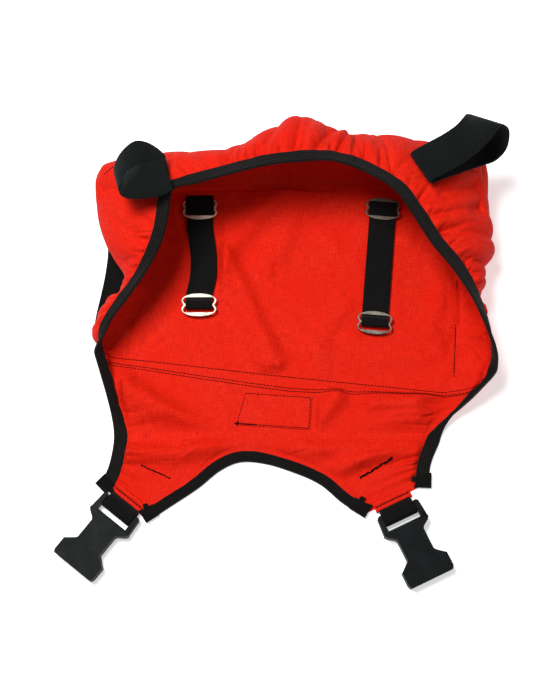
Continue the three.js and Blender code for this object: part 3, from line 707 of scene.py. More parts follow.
def patch(top, bottom, left, right, rows, columns):
    """A grid filling the space between four lines: top and bottom run left to right, sides run down."""
    u = np.linspace(0, 1, columns)[None, :, None]
    v = np.linspace(0, 1, rows)[:, None, None]
    top, bottom = top[None], bottom[None]
    left, right = left[:, None], right[:, None]
    corners = ((1 - u) * (1 - v) * top[:, :1] + u * (1 - v) * top[:, -1:]
               + (1 - u) * v * bottom[:, :1] + u * v * bottom[:, -1:])
    return (1 - v) * top + v * bottom + (1 - u) * left + u * right - corners


def base_line(first, last, count):
    line = base_curve.at(np.linspace(first, last, 200) / LAST_STATION)
    return along(line, np.linspace(0, run(line)[-1], count))


PANEL_ROWS, PANEL_COLUMNS = 46, 70
panel = patch(base_line(LEFT_SIDE, RIGHT_SIDE, PANEL_COLUMNS),
              np.linspace(base_curve.at(0)[0], base_curve.at(1)[0], PANEL_COLUMNS),
              base_line(LEFT_SIDE, 0, PANEL_ROWS), base_line(RIGHT_SIDE, LAST_STATION, PANEL_ROWS),
              PANEL_ROWS, PANEL_COLUMNS)
panel[..., 2] = 1.2
from_rows, from_columns = (np.minimum(np.arange(n), np.arange(n)[::-1]) for n in (PANEL_ROWS, PANEL_COLUMNS))
panel_free = np.clip(np.minimum.outer(from_rows, from_columns) / 2, 0, 1)


def ridge(points, path, height, left, right):
    """A fold along a path: its slopes are as wide as left and right, looking along the path."""
    best = np.full(points.shape[:2], np.inf)
    across = np.zeros(points.shape[:2])
    corners = np.array(path, float)
    line = along(corners, np.linspace(0, run(corners)[-1], 60))
    headings = unit(np.gradient(line, axis=0))
    for spot, heading in zip(line, headings):
        offset = points[..., :2] - spot
        distance = np.linalg.norm(offset, axis=2)
        side = np.sign(heading[0] * offset[..., 1] - heading[1] * offset[..., 0])
        nearer = distance < best
        across = np.where(nearer, side * distance, across)
        best = np.where(nearer, distance, best)
    return height * np.exp(-np.where(across > 0, across / left, across / right) ** 2)


PANEL_RIDGES = [  # path, height, width of the slope on its left, on its right
    ([(-2, 68), (-19, 50), (-38, 28), (-53, 8), (-58, -8)], 6.5, 9, 17),
    ([(12, 66), (0, 40), (-10, 10)], 3.4, 8, 14),
    ([(-50, 12), (-38, -11), (-25, -43), (-10, -71)], 5.6, 7, 14),
    ([(20, -62), (48, -70), (96, -66)], 2.4, 6, 10),
    ([(112, -24), (104, -44), (112, -62)], 2.8, 5, 8),
    ([(44, -52), (72, -58), (100, -48)], 2.0, 6, 7),
]
panel_height = sum(ridge(panel, *fold) for fold in PANEL_RIDGES) * panel_free
panel_cloth = settle(panel, panel_free, (0.004, 0.005), 200, seed=5, cap=4.5, stiff=(0.5, 0.6), gravity=0.002,
                     floor=0.8, push=0.6)
strap_reach = np.minimum(np.abs(panel[..., 0] + 69), np.abs(panel[..., 0] - 67.5))
under_strap = np.clip((19 - strap_reach) / 6, 0, 1) * np.clip((panel[..., 1] + 58) / 8, 0, 1)
panel_cloth[..., 2] = (panel_cloth[..., 2] + panel_height) * (1 - under_strap) + 1.4 * under_strap
panel_uv = panel[..., :2].copy()
panel_cloth, panel_uv = refine(refine(panel_cloth)), refine(refine(panel_uv))
spread("back_panel_cloth", panel_cloth, panel_uv, "back_panel")

# ---------------------------------------------------------------- seat panel and leg flap, one sheet
seat_edges = {side: Spline(points) for side, points in SEAT_EDGE.items()}
end_sections = {"left": wall_section(0.0), "right": wall_section(float(LAST_STATION))}
SEAM_BELOW = 0.2


def seat_row(v):
    """One line across the seat panel: wings that come down to the floor, and flat cloth between."""
    halves = {}
    for side, section in end_sections.items():
        edge_point = seat_edges[side].even([v])[0]
        start, end = section[0], section[-1]
        foot = start[0] + (edge_point[0] * 0.86 - start[0]) * v
        share = (section[:, 0] - start[0]) / (end[0] - start[0])
        rise = (section[:, 2] - start[2]) / (end[2] - start[2])
        y = (section[:, 1] - SEAM_BELOW) * (1 - v) + FOLD_Y * v
        end_y = (end[1] - SEAM_BELOW) * (1 - v) + FOLD_Y * v
        wing = np.stack([
            foot + (edge_point[0] - foot) * share,
            y + (edge_point[1] - end_y) * share ** 2,
            np.maximum(CLOTH_Z, CLOTH_Z + (edge_point[2] - CLOTH_Z) * rise),
        ], axis=1)
        at_seam = (1 - v) ** 5
        halves[side] = wing * (1 - at_seam) + section * at_seam
    return np.concatenate([halves["left"][::-1], halves["right"]])


SEAT_ROWS, FLAP_ROWS, SEAT_COLUMNS = 30, 38, 141
seat_lines = [seat_row(v) for v in np.linspace(0, 1, SEAT_ROWS)]
seat = np.stack([along(line, np.linspace(0, run(line)[-1], SEAT_COLUMNS)) for line in seat_lines])


def flat_line(points):
    return np.array([(x, y, CLOTH_Z) for x, y in points], float)


left_leg, right_leg, full_crotch = (Spline(flat_line(p)) for p in (LEFT_LEG, RIGHT_LEG, CROTCH))
CROTCH_INSET = 1.8  # the narrower crotch binding keeps its inner edge
crotch_line = full_crotch.even(np.linspace(0, 1, 90))
crotch_heading = unit(np.gradient(crotch_line, axis=0))
crotch_inward = np.stack([-crotch_heading[:, 1], crotch_heading[:, 0], 0 * crotch_heading[:, 0]], axis=1)
crotch = Spline(crotch_line + crotch_inward * CROTCH_INSET)


def tab_axes(tab):
    """A tab's origin, its heading towards the buckle and the direction across it."""
    heading = unit(np.array(tab["heading"]))
    return np.array(tab["slit"]) - heading * BAR["slit"], heading, np.array([heading[1], -heading[0]])


def tab_point(side, x, y, z):
    """From a tab's own axes, with y towards the buckle, to the object's."""
    origin, heading, across = tab_axes(TABS[side])
    spot = origin + across * x + heading * y
    return spot[0], spot[1], z


def tab_end(side, start, end, count):
    """Points along the cut end of a tab, just short of the hem's lower edge."""
    origin, heading, _ = tab_axes(TABS[side])
    line = np.linspace(start, end, count)
    past = (line[:, :2] - origin) @ heading - (HEM["start"] + HEM["depth"] - 0.3)
    line[:, :2] -= np.outer(past, heading)
    return line


TAB_SHARE = 0.17  # share of the flap's columns that end at each tab
tab_columns = int(round(TAB_SHARE * SEAT_COLUMNS))
bottom_line = np.concatenate([
    tab_end("left", left_leg.at(1)[0], crotch.at(0)[0], tab_columns + 1)[:-1],
    crotch.even(np.linspace(0.01, 0.99, SEAT_COLUMNS - 2 * tab_columns)),
    tab_end("right", crotch.at(1)[0], right_leg.at(1)[0], tab_columns + 1)[1:],
])
flap = patch(seat[-1], bottom_line, left_leg.even(np.linspace(0, 0.94, FLAP_ROWS)),
             right_leg.even(np.linspace(0, 0.94, FLAP_ROWS)), FLAP_ROWS, SEAT_COLUMNS)
lower = np.concatenate([seat, flap[1:]])
lower[..., 2] = np.maximum(lower[..., 2], CLOTH_Z)

lower_across = lengths_across(lower)
lower_down = lengths_down(lower)


def distance_to(points, line):
    """The distance from each point of a grid to the nearest point of a line."""
    best = np.full(points.shape[:-1], np.inf)
    for spot in line:
        best = np.minimum(best, np.linalg.norm(points - spot, axis=-1))
    return best


from_side = np.minimum(distance_to(lower, lower[:, 0]), distance_to(lower, lower[:, -1]))
from_crotch = distance_to(lower, crotch.even(np.linspace(0, 1, 200)))
from_tabs = np.minimum(distance_to(lower, lower[-1, :tab_columns]),
                       distance_to(lower, lower[-1, -tab_columns:]))
leg_pull = np.exp(-np.maximum(from_side - 10, 0) / 14)
near_leg = bell(lower[..., 1], -142, 24)
lower_spare_down = 0.006 + 0.09 * leg_pull * near_leg + 0.03 * leg_pull
label_room = np.maximum(np.abs(lower[..., 0] - LABEL["x"]) - 30, np.abs(lower[..., 1] - LABEL["y"]) - 15)
lower_free = np.clip((from_side - 9.5) / 3, 0, 1) * np.clip((from_crotch - 9.5) / 3, 0, 1)
lower_free = lower_free * np.clip((from_tabs - 7.0) / 4, 0, 1)
side_run = np.where(lower_across < lower_across[:, -1:] / 2, lower_down[:, :1], lower_down[:, -1:] + 300)
leg_folds = 3.2 * near_leg * folds(side_run, from_side - 9.5, 5.2, 9, seed=41, lean=0.2)
wide_folds = folds(side_run, from_side - 9.5, 10, 32, seed=42, lean=0.25)
leg_folds += 4.6 * bell(lower[..., 1], -138, 26) * wide_folds
LOWER_RIDGES = [
    ([(-122, -92), (-100, -106), (-70, -124), (-46, -138)], 5.0, 10, 14),
    ([(-120, -138), (-86, -141), (-56, -136)], 3.2, 7, 8),
    ([(92, -116), (55, -130), (14, -138)], 4.2, 8, 12),
    ([(90, -132), (52, -146), (28, -157)], 3.4, 5, 8),
    ([(34, -100), (20, -120), (-4, -138)], 2.8, 7, 10),
    ([(114, -90), (90, -102), (62, -104)], 3.2, 7, 9),
    ([(-34, -126), (-10, -134), (14, -150)], 2.2, 6, 8),
]
broad_folds = 2.2 * sum(ridge(lower, *fold) for fold in LOWER_RIDGES) * np.clip((from_crotch - 10) / 14, 0, 1)
lower_free = lower_free * np.clip((lower_down - 4) / 6, 0, 1) * np.clip(label_room / 4, 0.0, 1)
off_the_fold = 1 - 0.92 * bell(lower[..., 1], FOLD_Y, 11)  # the cloth lies flat where the flap folds up
lower_heights = (leg_folds + broad_folds) * off_the_fold * lower_free
lower_folded = lower + grid_normals(lower) * lower_heights[..., None]
lower_cloth = settle(lower_folded, lower_free, (0.15 * lower_spare_down, 0.004), 30, seed=23, cap=2.5,
                     stiff=(0.04, 0.01), floor=0.7, push=0.3)
down_the_cloth = -lower_down.mean(axis=1)[:, None] + 0 * lower_across
lower_uv = np.stack([lower_across - lower_across[:, -1:] / 2, down_the_cloth], axis=2)
lower_cloth, lower_uv = refine(lower_cloth), refine(lower_uv)
lower_sheet = cloth_mesh("seat_and_flap_cloth", lower_cloth, lower_uv, CLOTH)
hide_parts("seat_panel", "leg_flap")
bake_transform(lower_sheet)


# ---------------------------------------------------------------- bindings
CORD_STEPS = np.linspace(0.9, 9.3, 17)
CORD_TOPS = [(d, 1.18 + 0.13 * math.cos((d - 0.9) * 2 * math.pi / 2.1) - 0.015 * d) for d in CORD_STEPS]
FOLD_TOP = [(0.0, 0.0), (0.15, 0.65)] + CORD_TOPS + [(9.85, 0.7)]
# Each point is a distance from the fold and a height above the cloth.
FOLD_SECTION = FOLD_TOP + [(d, -h) for d, h in FOLD_TOP[:0:-1]]


def bind(name, strips, pucker, seed):
    """A folded binding over strips of points, each from the free edge inwards by its width."""
    lengths = run(strips[:, 0])
    steps = int(lengths[-1] / 1.5)
    even = np.linspace(0, lengths[-1], steps + 1)
    strips = np.stack([
        np.stack([np.interp(even, lengths, strips[:, j, k]) for k in range(3)], axis=1)
        for j in range(strips.shape[1])
    ], axis=1)
    normals = grid_normals(strips)

    def wave(rng, length):
        """Random hills along the binding, about one in each length."""
        return smooth_noise(rng, (len(even), 2), (max(2, int(lengths[-1] / length)), 1))[:, 0]

    rng = np.random.default_rng(seed)
    ripple = wave(rng, 4.5)
    swell = wave(rng, 7)
    edge_wave = wave(np.random.default_rng(seed + 50), 16)
    shares = np.linspace(0, BINDING_WIDTH, strips.shape[1])
    rings = []
    for i, (strip, normal) in enumerate(zip(strips, normals)):
        ring = []
        for inward, height in FOLD_SECTION:
            reach = inward * (1 + (0.035 * swell[i] + 0.05 * edge_wave[i]) * pucker)
            point = np.array([np.interp(reach, shares, strip[:, k]) for k in range(3)])
            up = np.array([np.interp(reach, shares, normal[:, k]) for k in range(3)])
            lift = height * (1 + 0.12 * swell[i]) + 0.38 * pucker * ripple[i] * inward / BINDING_WIDTH
            ring.append(point + up * lift)
        rings.append(ring)
    rings = np.array(rings)
    around = run(np.array(FOLD_SECTION))
    uv = np.stack([even[:, None] + 0 * around[None], around[None] + 0 * even[:, None]], axis=2)
    return tube_mesh(name, rings, uv, BIND)


STRIP_POINTS = 5


def edge_strip(line):
    """The last stretch of a line, as wide as the binding, from its free end inwards."""
    length = run(line)[-1]
    return along(line, length - np.linspace(0, BINDING_WIDTH, STRIP_POINTS))


def flat_strips(line, width=BINDING_WIDTH):
    """Strips in from an outline that lies flat, with the cloth on its left."""
    tangent = unit(np.gradient(line, axis=0))
    inward = np.stack([-tangent[:, 1], tangent[:, 0], 0 * tangent[:, 0]], axis=1)
    return np.stack([line + inward * d for d in np.linspace(0, width, STRIP_POINTS)], axis=1)


left_seat = [edge_strip(seat_row(v)[::-1]) for v in np.linspace(0.98, 0.02, 24)]
mouth = [edge_strip(wall_section(s)) for s in even_stations(300)]
right_seat = [edge_strip(seat_row(v)) for v in np.linspace(0.02, 0.98, 24)]
left_leg_line = left_leg.even(np.linspace(1, 0.03, 22))
right_leg_line = right_leg.even(np.linspace(0.03, 1, 22))
left_leg_strips = flat_strips(left_leg_line[::-1])[::-1]
right_leg_strips = flat_strips(right_leg_line[::-1])[::-1]
mouth_strips = np.concatenate([left_leg_strips, left_seat, mouth, right_seat, right_leg_strips])


def soften(strips, reach):
    """Eases the strips' kinks with a moving average along their length."""
    kernel = average_weights(reach)
    before, after = 2 * strips[:1] - strips[reach:0:-1], 2 * strips[-1:] - strips[-2:-reach - 2:-1]
    padded = np.concatenate([before, strips, after])
    return np.stack([sum(k * padded[i + n] for n, k in enumerate(kernel)) for i in range(len(strips))])


mouth_binding = bind("edge_binding", soften(mouth_strips, 4), 1.0, seed=3)
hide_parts("mouth_binding", "left_leg_binding", "right_leg_binding")
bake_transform(mouth_binding)

crotch_strips = flat_strips(crotch.even(np.linspace(0, 1, 90)), width=BINDING_WIDTH - CROTCH_INSET)
crotch_binding = bind("crotch_edge_binding", crotch_strips, 0.8, seed=4)
stand_for(crotch_binding, "leg_flap", "binding", "crotch_binding")


# ---------------------------------------------------------------- webbing
def ribbon(name, points, sides, width, steps, material, closed=False, thickness=WEBBING):
    """A flat strip of webbing along points, each with the direction of the strip's width."""
    t = np.arange(steps) / steps if closed else np.linspace(0, 1, steps + 1)
    middle = Spline(points, closed).at(t)
    side = unit(Spline(unit(np.array(sides, float)) * 50, closed).at(t))
    if closed:
        tangent = np.roll(middle, -1, axis=0) - np.roll(middle, 1, axis=0)
    else:
        tangent = np.gradient(middle, axis=0)
    up = unit(np.cross(unit(tangent), side))
    half, thick = width / 2, thickness / 2
    outline = [(-half, 0.0), (-half + 0.15, thick * 0.75), (-half + 0.8, thick), (-half * 0.5, thick * 0.96),
               (0.0, thick), (half * 0.5, thick * 0.96), (half - 0.8, thick), (half - 0.15, thick * 0.75)]
    outline += [(-x, -z) for x, z in outline]
    rings = np.array([[m + s * x + u * z for x, z in outline] for m, s, u in zip(middle, side, up)])
    distance = run(middle)
    across = np.array([x + half if z >= 0 else 3 * half - x for x, z in outline])
    uv = np.stack([distance[:, None] + 0 * across[None], across[None] + 0 * distance[:, None]], axis=2)
    return tube_mesh(name, rings, uv, material, closed)


def webbing_piece(name, node, body, points, sides, width, steps, material, closed=False):
    stand_for(ribbon(name, points, sides, width, steps, material, closed), body, "webbing", node)


RIGHT_LOOP = [
    (94, 52, 75.5, 0.55, -0.83), (103, 56.5, 72, 0.6, -0.8), (113, 61.5, 67.5, 0.6, -0.8),
    (123, 67, 63, 0.6, -0.8), (133, 72, 58.5, 0.62, -0.78), (142, 76, 56, 0.7, -0.7),
    (147, 80, 61, 0.82, -0.57), (147.5, 83.5, 69, 0.9, -0.43), (145, 86, 78, 0.95, -0.3),
    (139, 86, 85, 0.95, -0.3, -0.08), (131, 76, 90, 0.65, -0.74, -0.18), (122, 66.5, 92, 0.42, -0.88, -0.22),
    (112, 59.5, 91.5, 0.4, -0.88, -0.22), (102, 55, 88, 0.45, -0.86, -0.2),
    (92.5, 51.5, 81.5, 0.53, -0.83, -0.1),
]
LEFT_LOOP = [
    (-88, 46.5, 79, 0.3, -0.95), (-94.5, 42.5, 81.5, 0.22, -0.96, -0.15), (-102, 39.2, 85, 0.1, -0.97, -0.22),
    (-109, 37.8, 86.5, -0.1, -0.97, -0.1), (-116.5, 37.2, 85, -0.1, -0.93, 0.3),
    (-122.5, 38.5, 80.5, 0.12, -0.75, 0.62), (-124.5, 43.5, 77, 0.25, -0.7, 0.65),
    (-121.5, 49.3, 77, 0.4, -0.78, 0.45), (-115, 54.3, 80.5, 0.41, -0.91, 0.07),
    (-107, 57.7, 84, 0.33, -0.92, -0.2), (-100.5, 57, 82.5, 0.25, -0.93, -0.3),
    (-94.5, 54, 79, 0.15, -0.97, -0.25), (-88.5, 50.5, 75.5, 0.2, -0.98, -0.12),
]
SIDE_STRAP = [
    (-131, 34, 1.3, 1, 0.05, 0), (-129.5, 15, 1.3, 1, 0, 0), (-131, -4, 1.3, 1, -0.1, 0),
    (-134, -22, 1.3, 1, -0.15, 0), (-137, -38, 1.3, 1, -0.15, 0), (-138.5, -52, 1.3, 1, -0.1, 0),
]


def stations_of(rows):
    """Splits rows of a position and a width direction; a flat direction may leave out its z."""
    return [r[:3] for r in rows], [tuple(r[3:]) + (0,) * (6 - len(r)) for r in rows]


webbing_piece("right_loop_webbing", "right_loop", "right_loop", *stations_of(RIGHT_LOOP), WEBBING_WIDTH, 168,
              LOOP_WEB, closed=True)
webbing_piece("left_loop_webbing", "left_loop", "left_loop", *stations_of(LEFT_LOOP), WEBBING_WIDTH, 120,
              LOOP_WEB)
webbing_piece("side_strap_webbing", "side_strap", "pouch", *stations_of(SIDE_STRAP), STRAP_WIDTH, 60, WEB)


def strap_frame(strap):
    start, end = (np.array(strap[k] + (0,), float) for k in ("top", "end"))
    down = unit(end - start)
    return start, down, np.array([-down[1], down[0], 0]), np.linalg.norm(end - start)


for strap_side, strap in STRAPS.items():
    start, down, swing, length = strap_frame(strap)
    mid_plate = PLATE_Z + SLIDE["thickness"] / 2
    over = mid_plate + SLIDE["thickness"] / 2 + 0.4 + WEBBING / 2
    wrap = SLIDE["centre_bar"] / 2 + 0.7 + WEBBING / 2
    sway = strap["sway"]
    path = [(0, STRAP_Z, 0), (10, STRAP_Z, 0), (22, STRAP_Z, 0), (length * 0.42, STRAP_Z, sway * 0.55),
            (length * 0.58, STRAP_Z, sway), (length * 0.75, STRAP_Z, sway * 0.8), (length - 9, STRAP_Z, 0),
            (length - 5.5, STRAP_Z, 0), (length - 1.8, over, 0), (length + 0.9, over, 0),
            (length + wrap, mid_plate, 0), (length + 1.6, STRAP_Z - 0.4, 0), (length - 1, STRAP_Z - 0.55, 0)]
    points = [start + down * a + swing * s + np.array([0, 0, z]) for a, z, s in path]
    side = unit(np.array([1, 0, 0]) - down * down[0])
    webbing_piece(f"{strap_side}_strap_webbing", f"{strap_side}_strap", f"{strap_side}_strap", points,
                  [side] * len(points), STRAP_WIDTH, 150, WEB)


# ---------------------------------------------------------------- slides
def slide_outline():
    s = SLIDE
    quarter = [
        (s["half_notch"], 0), (s["half_width"] - 0.5, 1.8), (s["half_width"], 3.2),
        (s["half_width"] - 0.3, s["lobe_y"]), (s["half_width"] - 2.2, 6.6), (s["half_width"] - 6, 8.2),
        (4, s["half_height"] - 0.2), (0, s["half_height"]),
    ]
    right = [(x, -y) for x, y in quarter[1:]][::-1] + quarter
    left = [(-x, y) for x, y in right[1:-1]][::-1]
    return Spline([(x, y) for x, y in right + left], closed=True).at(np.arange(120) / 120)


def slide_slot(start):
    """The upper half of a slide's opening, from a height up to the outer bar, parallel to its outline."""
    s = SLIDE
    reach, side = s["half_height"] - s["bar"], s["half_width"] - s["side"]
    right = Spline([(s["half_notch"] - s["side"] + 0.3, start), (side, 3.2), (side - 0.1, s["lobe_y"] - 0.2),
                    (side - 1.0, reach - 0.25), (8, reach), (0, reach)]).at(np.linspace(0, 1, 24))
    points = [tuple(p) for p in right]
    return points + [(-x, y) for x, y in points[-2::-1]]


def turned(points):
    return [(-x, -y) for x, y in points]


def pressed_plate(name, outlines, bottom, thickness, bevel, material):
    """A flat plate with rounded edges: the first outline is its edge and the others are its holes."""
    curve = bpy.data.curves.new(name, "CURVE")
    curve.dimensions = "2D"
    curve.fill_mode = "BOTH"
    curve.extrude = (thickness / 2 - bevel) * MM
    curve.bevel_depth = bevel * MM
    curve.bevel_resolution = 2
    curve.offset = -bevel * MM
    for outline in outlines:
        spline = curve.splines.new("POLY")
        spline.points.add(len(outline) - 1)
        for point, (x, y) in zip(spline.points, outline):
            point.co = (x * MM, y * MM, 0, 1)
        spline.use_cyclic_u = True
    holder = place_object(name + "_curve", curve)
    bpy.context.view_layer.update()
    mesh = bpy.data.meshes.new_from_object(holder)
    bpy.data.objects.remove(holder)
    mesh.name = name
    mesh.transform(Matrix.Translation((0, 0, (bottom + thickness / 2) * MM)))
    mesh.materials.clear()
    mesh.materials.append(material)
    return mesh


def bevelled_box(x0, x1, y0, y1, z0, z1, bevel, material):
    build = bmesh.new()
    centre = Vector(((x0 + x1) / 2, (y0 + y1) / 2, (z0 + z1) / 2)) * MM
    size = Vector((x1 - x0, y1 - y0, z1 - z0)) * MM
    bmesh.ops.create_cube(build, size=1, matrix=Matrix.Translation(centre) @ Matrix.Diagonal((*size, 1)))
    bmesh.ops.bevel(build, geom=build.edges[:], offset=bevel * MM, segments=3, profile=0.5, affect="EDGES")
    mesh = bpy.data.meshes.new("bevelled_box")
    build.to_mesh(mesh)
    build.free()
    mesh.materials.append(material)
    return mesh


def place_meshes(name, meshes, x, y, turn, node, body):
    """Joins metal meshes made about the origin and puts the result where it belongs."""
    joined = join(name, [place_object(name, mesh) for mesh in meshes])
    joined.data.transform(Matrix.Translation((x * MM, y * MM, 0)) @ Matrix.Rotation(turn, 4, "Z"))
    shade_smooth(joined.data)
    joined.data.set_sharp_from_angle(angle=math.radians(40))
    stand_for(joined, body, "slide_metal", node)


strap_room = STRAP_WIDTH / 2 + 0.3
half_centre = SLIDE["centre_bar"] / 2
for strap_side, strap in STRAPS.items():
    (x0, y0), (x1, y1) = strap["top"], strap["end"]
    turn = math.atan2(x1 - x0, y0 - y1)
    # the right strap's slides get the darker copy of the metal: painted shade
    metal = METAL if strap_side == "left" else SHADED_SLIDE_METAL
    ring = pressed_plate("ring", [slide_outline(), slide_slot(0.6) + turned(slide_slot(0.6))],
                         PLATE_Z, SLIDE["thickness"], 0.3, metal)
    low = PANEL_THICKNESS + 0.35
    reach = SLIDE["half_notch"] + 0.3
    under = bevelled_box(-reach, reach, -half_centre, half_centre, low, low + 0.7, 0.2, metal)
    cheeks = [bevelled_box(a, b, -half_centre, half_centre, low, PLATE_Z + 0.5, 0.2, metal)
              for a, b in ((-reach, -strap_room), (strap_room, reach))]
    place_meshes(f"{strap_side}_adjuster_metal", [ring, under] + cheeks, *strap["adjuster"], turn,
                 f"{strap_side}_adjuster", f"{strap_side}_adjuster")
    slot = slide_slot(half_centre)
    plate = pressed_plate("plate", [slide_outline(), slot, turned(slot)], PLATE_Z, SLIDE["thickness"], 0.3,
                          metal)
    place_meshes(f"{strap_side}_end_slide_metal", [plate], *strap["end"], turn,
                 f"{strap_side}_end_slide", f"{strap_side}_strap")
    tuck, crown = PLATE_Z - 0.1, PLATE_Z + SLIDE["thickness"] + WEBBING / 2 + 0.15
    if strap_side == "left":  # the webbing folds over the slide's upper bar
        fold = [(-4.6, tuck), (-1.5, crown - 0.5), (3.5, crown), (7.2, crown + 0.1), (9.3, crown - 0.6),
                (10.0, PLATE_Z + 0.6)]
    else:  # it rises through the slide between its bars
        fold = [(-5.4, tuck), (-3.6, tuck + 0.9), (-1.2, crown - 0.3), (1.2, crown - 0.3),
                (3.6, tuck + 0.9), (5.4, tuck)]
    cosine, sine = math.cos(turn), math.sin(turn)
    middle_x, middle_y = strap["adjuster"]
    fold_points = [(middle_x - y * sine, middle_y + y * cosine, z) for y, z in fold]
    bulge = ribbon(f"{strap_side}_adjuster_webbing", fold_points, [(cosine, sine, 0)] * len(fold_points),
                   STRAP_WIDTH + 1.5, 40, WEB, thickness=1.3)
    stand_for(bulge, f"{strap_side}_adjuster", "webbing")


# ---------------------------------------------------------------- tabs: hems, webbing and buckles
HEM_SEAM = 3.9  # the hem's stitching, from its upper edge
HEM_PROFILE = [  # distance from the hem's upper edge, rise above its middle
    (-0.4, -1.4), (-0.1, 0.2), (0.7, 1.0), (1.9, 1.3), (3.0, 1.0), (3.9, 0.35), (4.8, 1.0), (5.9, 1.3),
    (7.1, 1.0), (7.7, 0.2), (7.9, -1.4),
]
hem_columns = np.linspace(-HEM["width"] / 2, HEM["width"] / 2, 21)
hem_lines = {}
for tab_side, tab in TABS.items():
    across = tab_axes(tab)[2]
    layer = BAR["radius"] + 0.4 + WEBBING / 2
    start_y = HEM["start"] + HEM["depth"] + 0.5
    path = [(start_y, CLOTH_Z + 2.9), (start_y + 3.5, BAR["z"] + 2.2)]
    path += [(BAR["at"] + layer * math.cos(a), BAR["z"] + layer * math.sin(a))
             for a in np.linspace(math.pi / 2, -math.pi / 2, 7)]
    path += [(start_y + 4.5, BAR["z"] - layer), (start_y + 0.8, BAR["z"] - layer)]
    points = [tab_point(tab_side, 0, y, z) for y, z in path]
    side = (*across, 0)
    webbing_piece(f"{tab_side}_tab_strap", f"{tab_side}_tab_webbing", "leg_flap", points, [side] * len(points),
                  WEBBING_WIDTH, 90, WEB)
    hem_z = CLOTH_Z + 0.8 + 0.5
    hem_rows = [[tab_point(tab_side, x, HEM["start"] + y, hem_z + (rise + 0.12 * math.sin(0.9 * x + y)))
                 for x in hem_columns] for y, rise in HEM_PROFILE]
    hem_grid = refine(np.array(hem_rows))
    hem_lines[tab_side] = np.array([tab_point(tab_side, x, HEM["start"] + HEM_SEAM, hem_z + 0.5)
                                    for x in np.linspace(-13.5, 13.5, 24)])
    hem_uv = np.stack([lengths_across(hem_grid), lengths_down(hem_grid)], axis=2)
    spread(f"{tab_side}_hem_cloth", hem_grid, hem_uv, f"{tab_side}_tab_hem",
           body="leg_flap")

    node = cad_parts[f"{tab_side}_buckle"]
    build = bmesh.new()
    build.from_mesh(node.data)
    bmesh.ops.remove_doubles(build, verts=build.verts, dist=1e-6)
    bmesh.ops.dissolve_limit(build, angle_limit=math.radians(2), verts=build.verts, edges=build.edges)
    body = bpy.data.meshes.new(f"{tab_side}_buckle_body")
    build.to_mesh(body)
    build.free()
    body.materials.clear()
    body.materials.append(PLASTIC)
    buckle = place_object(f"{tab_side}_buckle_body", body)
    rounding = buckle.modifiers.new("rounding", "BEVEL")
    rounding.width = 0.0007
    rounding.segments = 3
    rounding.limit_method = "ANGLE"
    rounding.angle_limit = math.radians(25)
    rounding.use_clamp_overlap = True
    shade_smooth(body)
    body.set_sharp_from_angle(angle=math.radians(35))
    stand_for(buckle, f"{tab_side}_buckle", "buckle_plastic", f"{tab_side}_buckle")


TURNED_END = {"length": 9.0, "overhang": 0.7, "tongue": 4.2, "tongue_from": 1.6, "tongue_to": 6.0,
              "bottom": 0.9, "thickness": 1.9, "rounding": 0.5}


def turned_end(name, end, before, past):
    """A binding's end turned back over itself: a squared flap with a short tongue over the cloth.

    end and before are two of the binding's strips, the last one and one further back; the flap reaches
    past the last one.
    """
    size = TURNED_END
    outer, inner = end[0][:2], end[-1][:2]
    width = np.linalg.norm(inner - outer)
    back = unit(before[:, :2].mean(axis=0) - end[:, :2].mean(axis=0))
    across = inner - outer
    across = unit(across - back * (across @ back))
    low, high = -size["overhang"], width + size["overhang"]
    tip = width + size["tongue"]
    shape = [(low, -past), (high + 1.5, -past), (high, size["tongue_from"]), (tip, size["tongue_from"] + 0.6),
             (tip - 0.8, size["tongue_to"] - 0.4), (high, size["tongue_to"]),
             (high - 0.4, size["length"]), (low, size["length"])]
    outline = [tuple(outer + across * u + back * v) for u, v in shape]
    mesh = pressed_plate(name, [outline], CLOTH_Z + size["bottom"], size["thickness"], size["rounding"], BIND)
    layer = mesh.uv_layers.new(name="UVMap")
    for corner in mesh.loops:
        layer.data[corner.index].uv = mesh.vertices[corner.vertex_index].co.xy
    shade_smooth(mesh)
    stand_for(place_object(name, mesh), "leg_flap", "binding")


turned_end("left_leg_end", mouth_strips[0], mouth_strips[4], past=1.0)
turned_end("right_leg_end", mouth_strips[-1], mouth_strips[-9], past=2.4)
turned_end("left_crotch_end", crotch_strips[0], crotch_strips[6], past=2.4)
turned_end("right_crotch_end", crotch_strips[-1], crotch_strips[-7], past=5.0)


# ---------------------------------------------------------------- label patch
def label_point(x, y, z):
    cosine, sine = math.cos(LABEL["turn"]), math.sin(LABEL["turn"])
    return LABEL["x"] + x * cosine - y * sine, LABEL["y"] + x * sine + y * cosine, z


LABEL_Z = CLOTH_Z + 0.9
half_width, half_depth = LABEL["width"] / 2, LABEL["depth"] / 2
label_rows = []
for y in np.linspace(half_depth, -half_depth, 15):
    line = []
    for x in np.linspace(-half_width, half_width, 31):
        inset = min(half_width - abs(x), half_depth - abs(y))
        puff = 0.55 * min(1.0, inset / 2.5) + 0.15 * math.sin(x * 0.33 + y * 0.2)
        line.append(label_point(x, y, LABEL_Z + puff * (inset > 0)))
    label_rows.append(line)
label_grid = refine(np.array(label_rows))
spread("label_patch_cloth", label_grid, label_grid[..., :2].copy(), "label_patch")


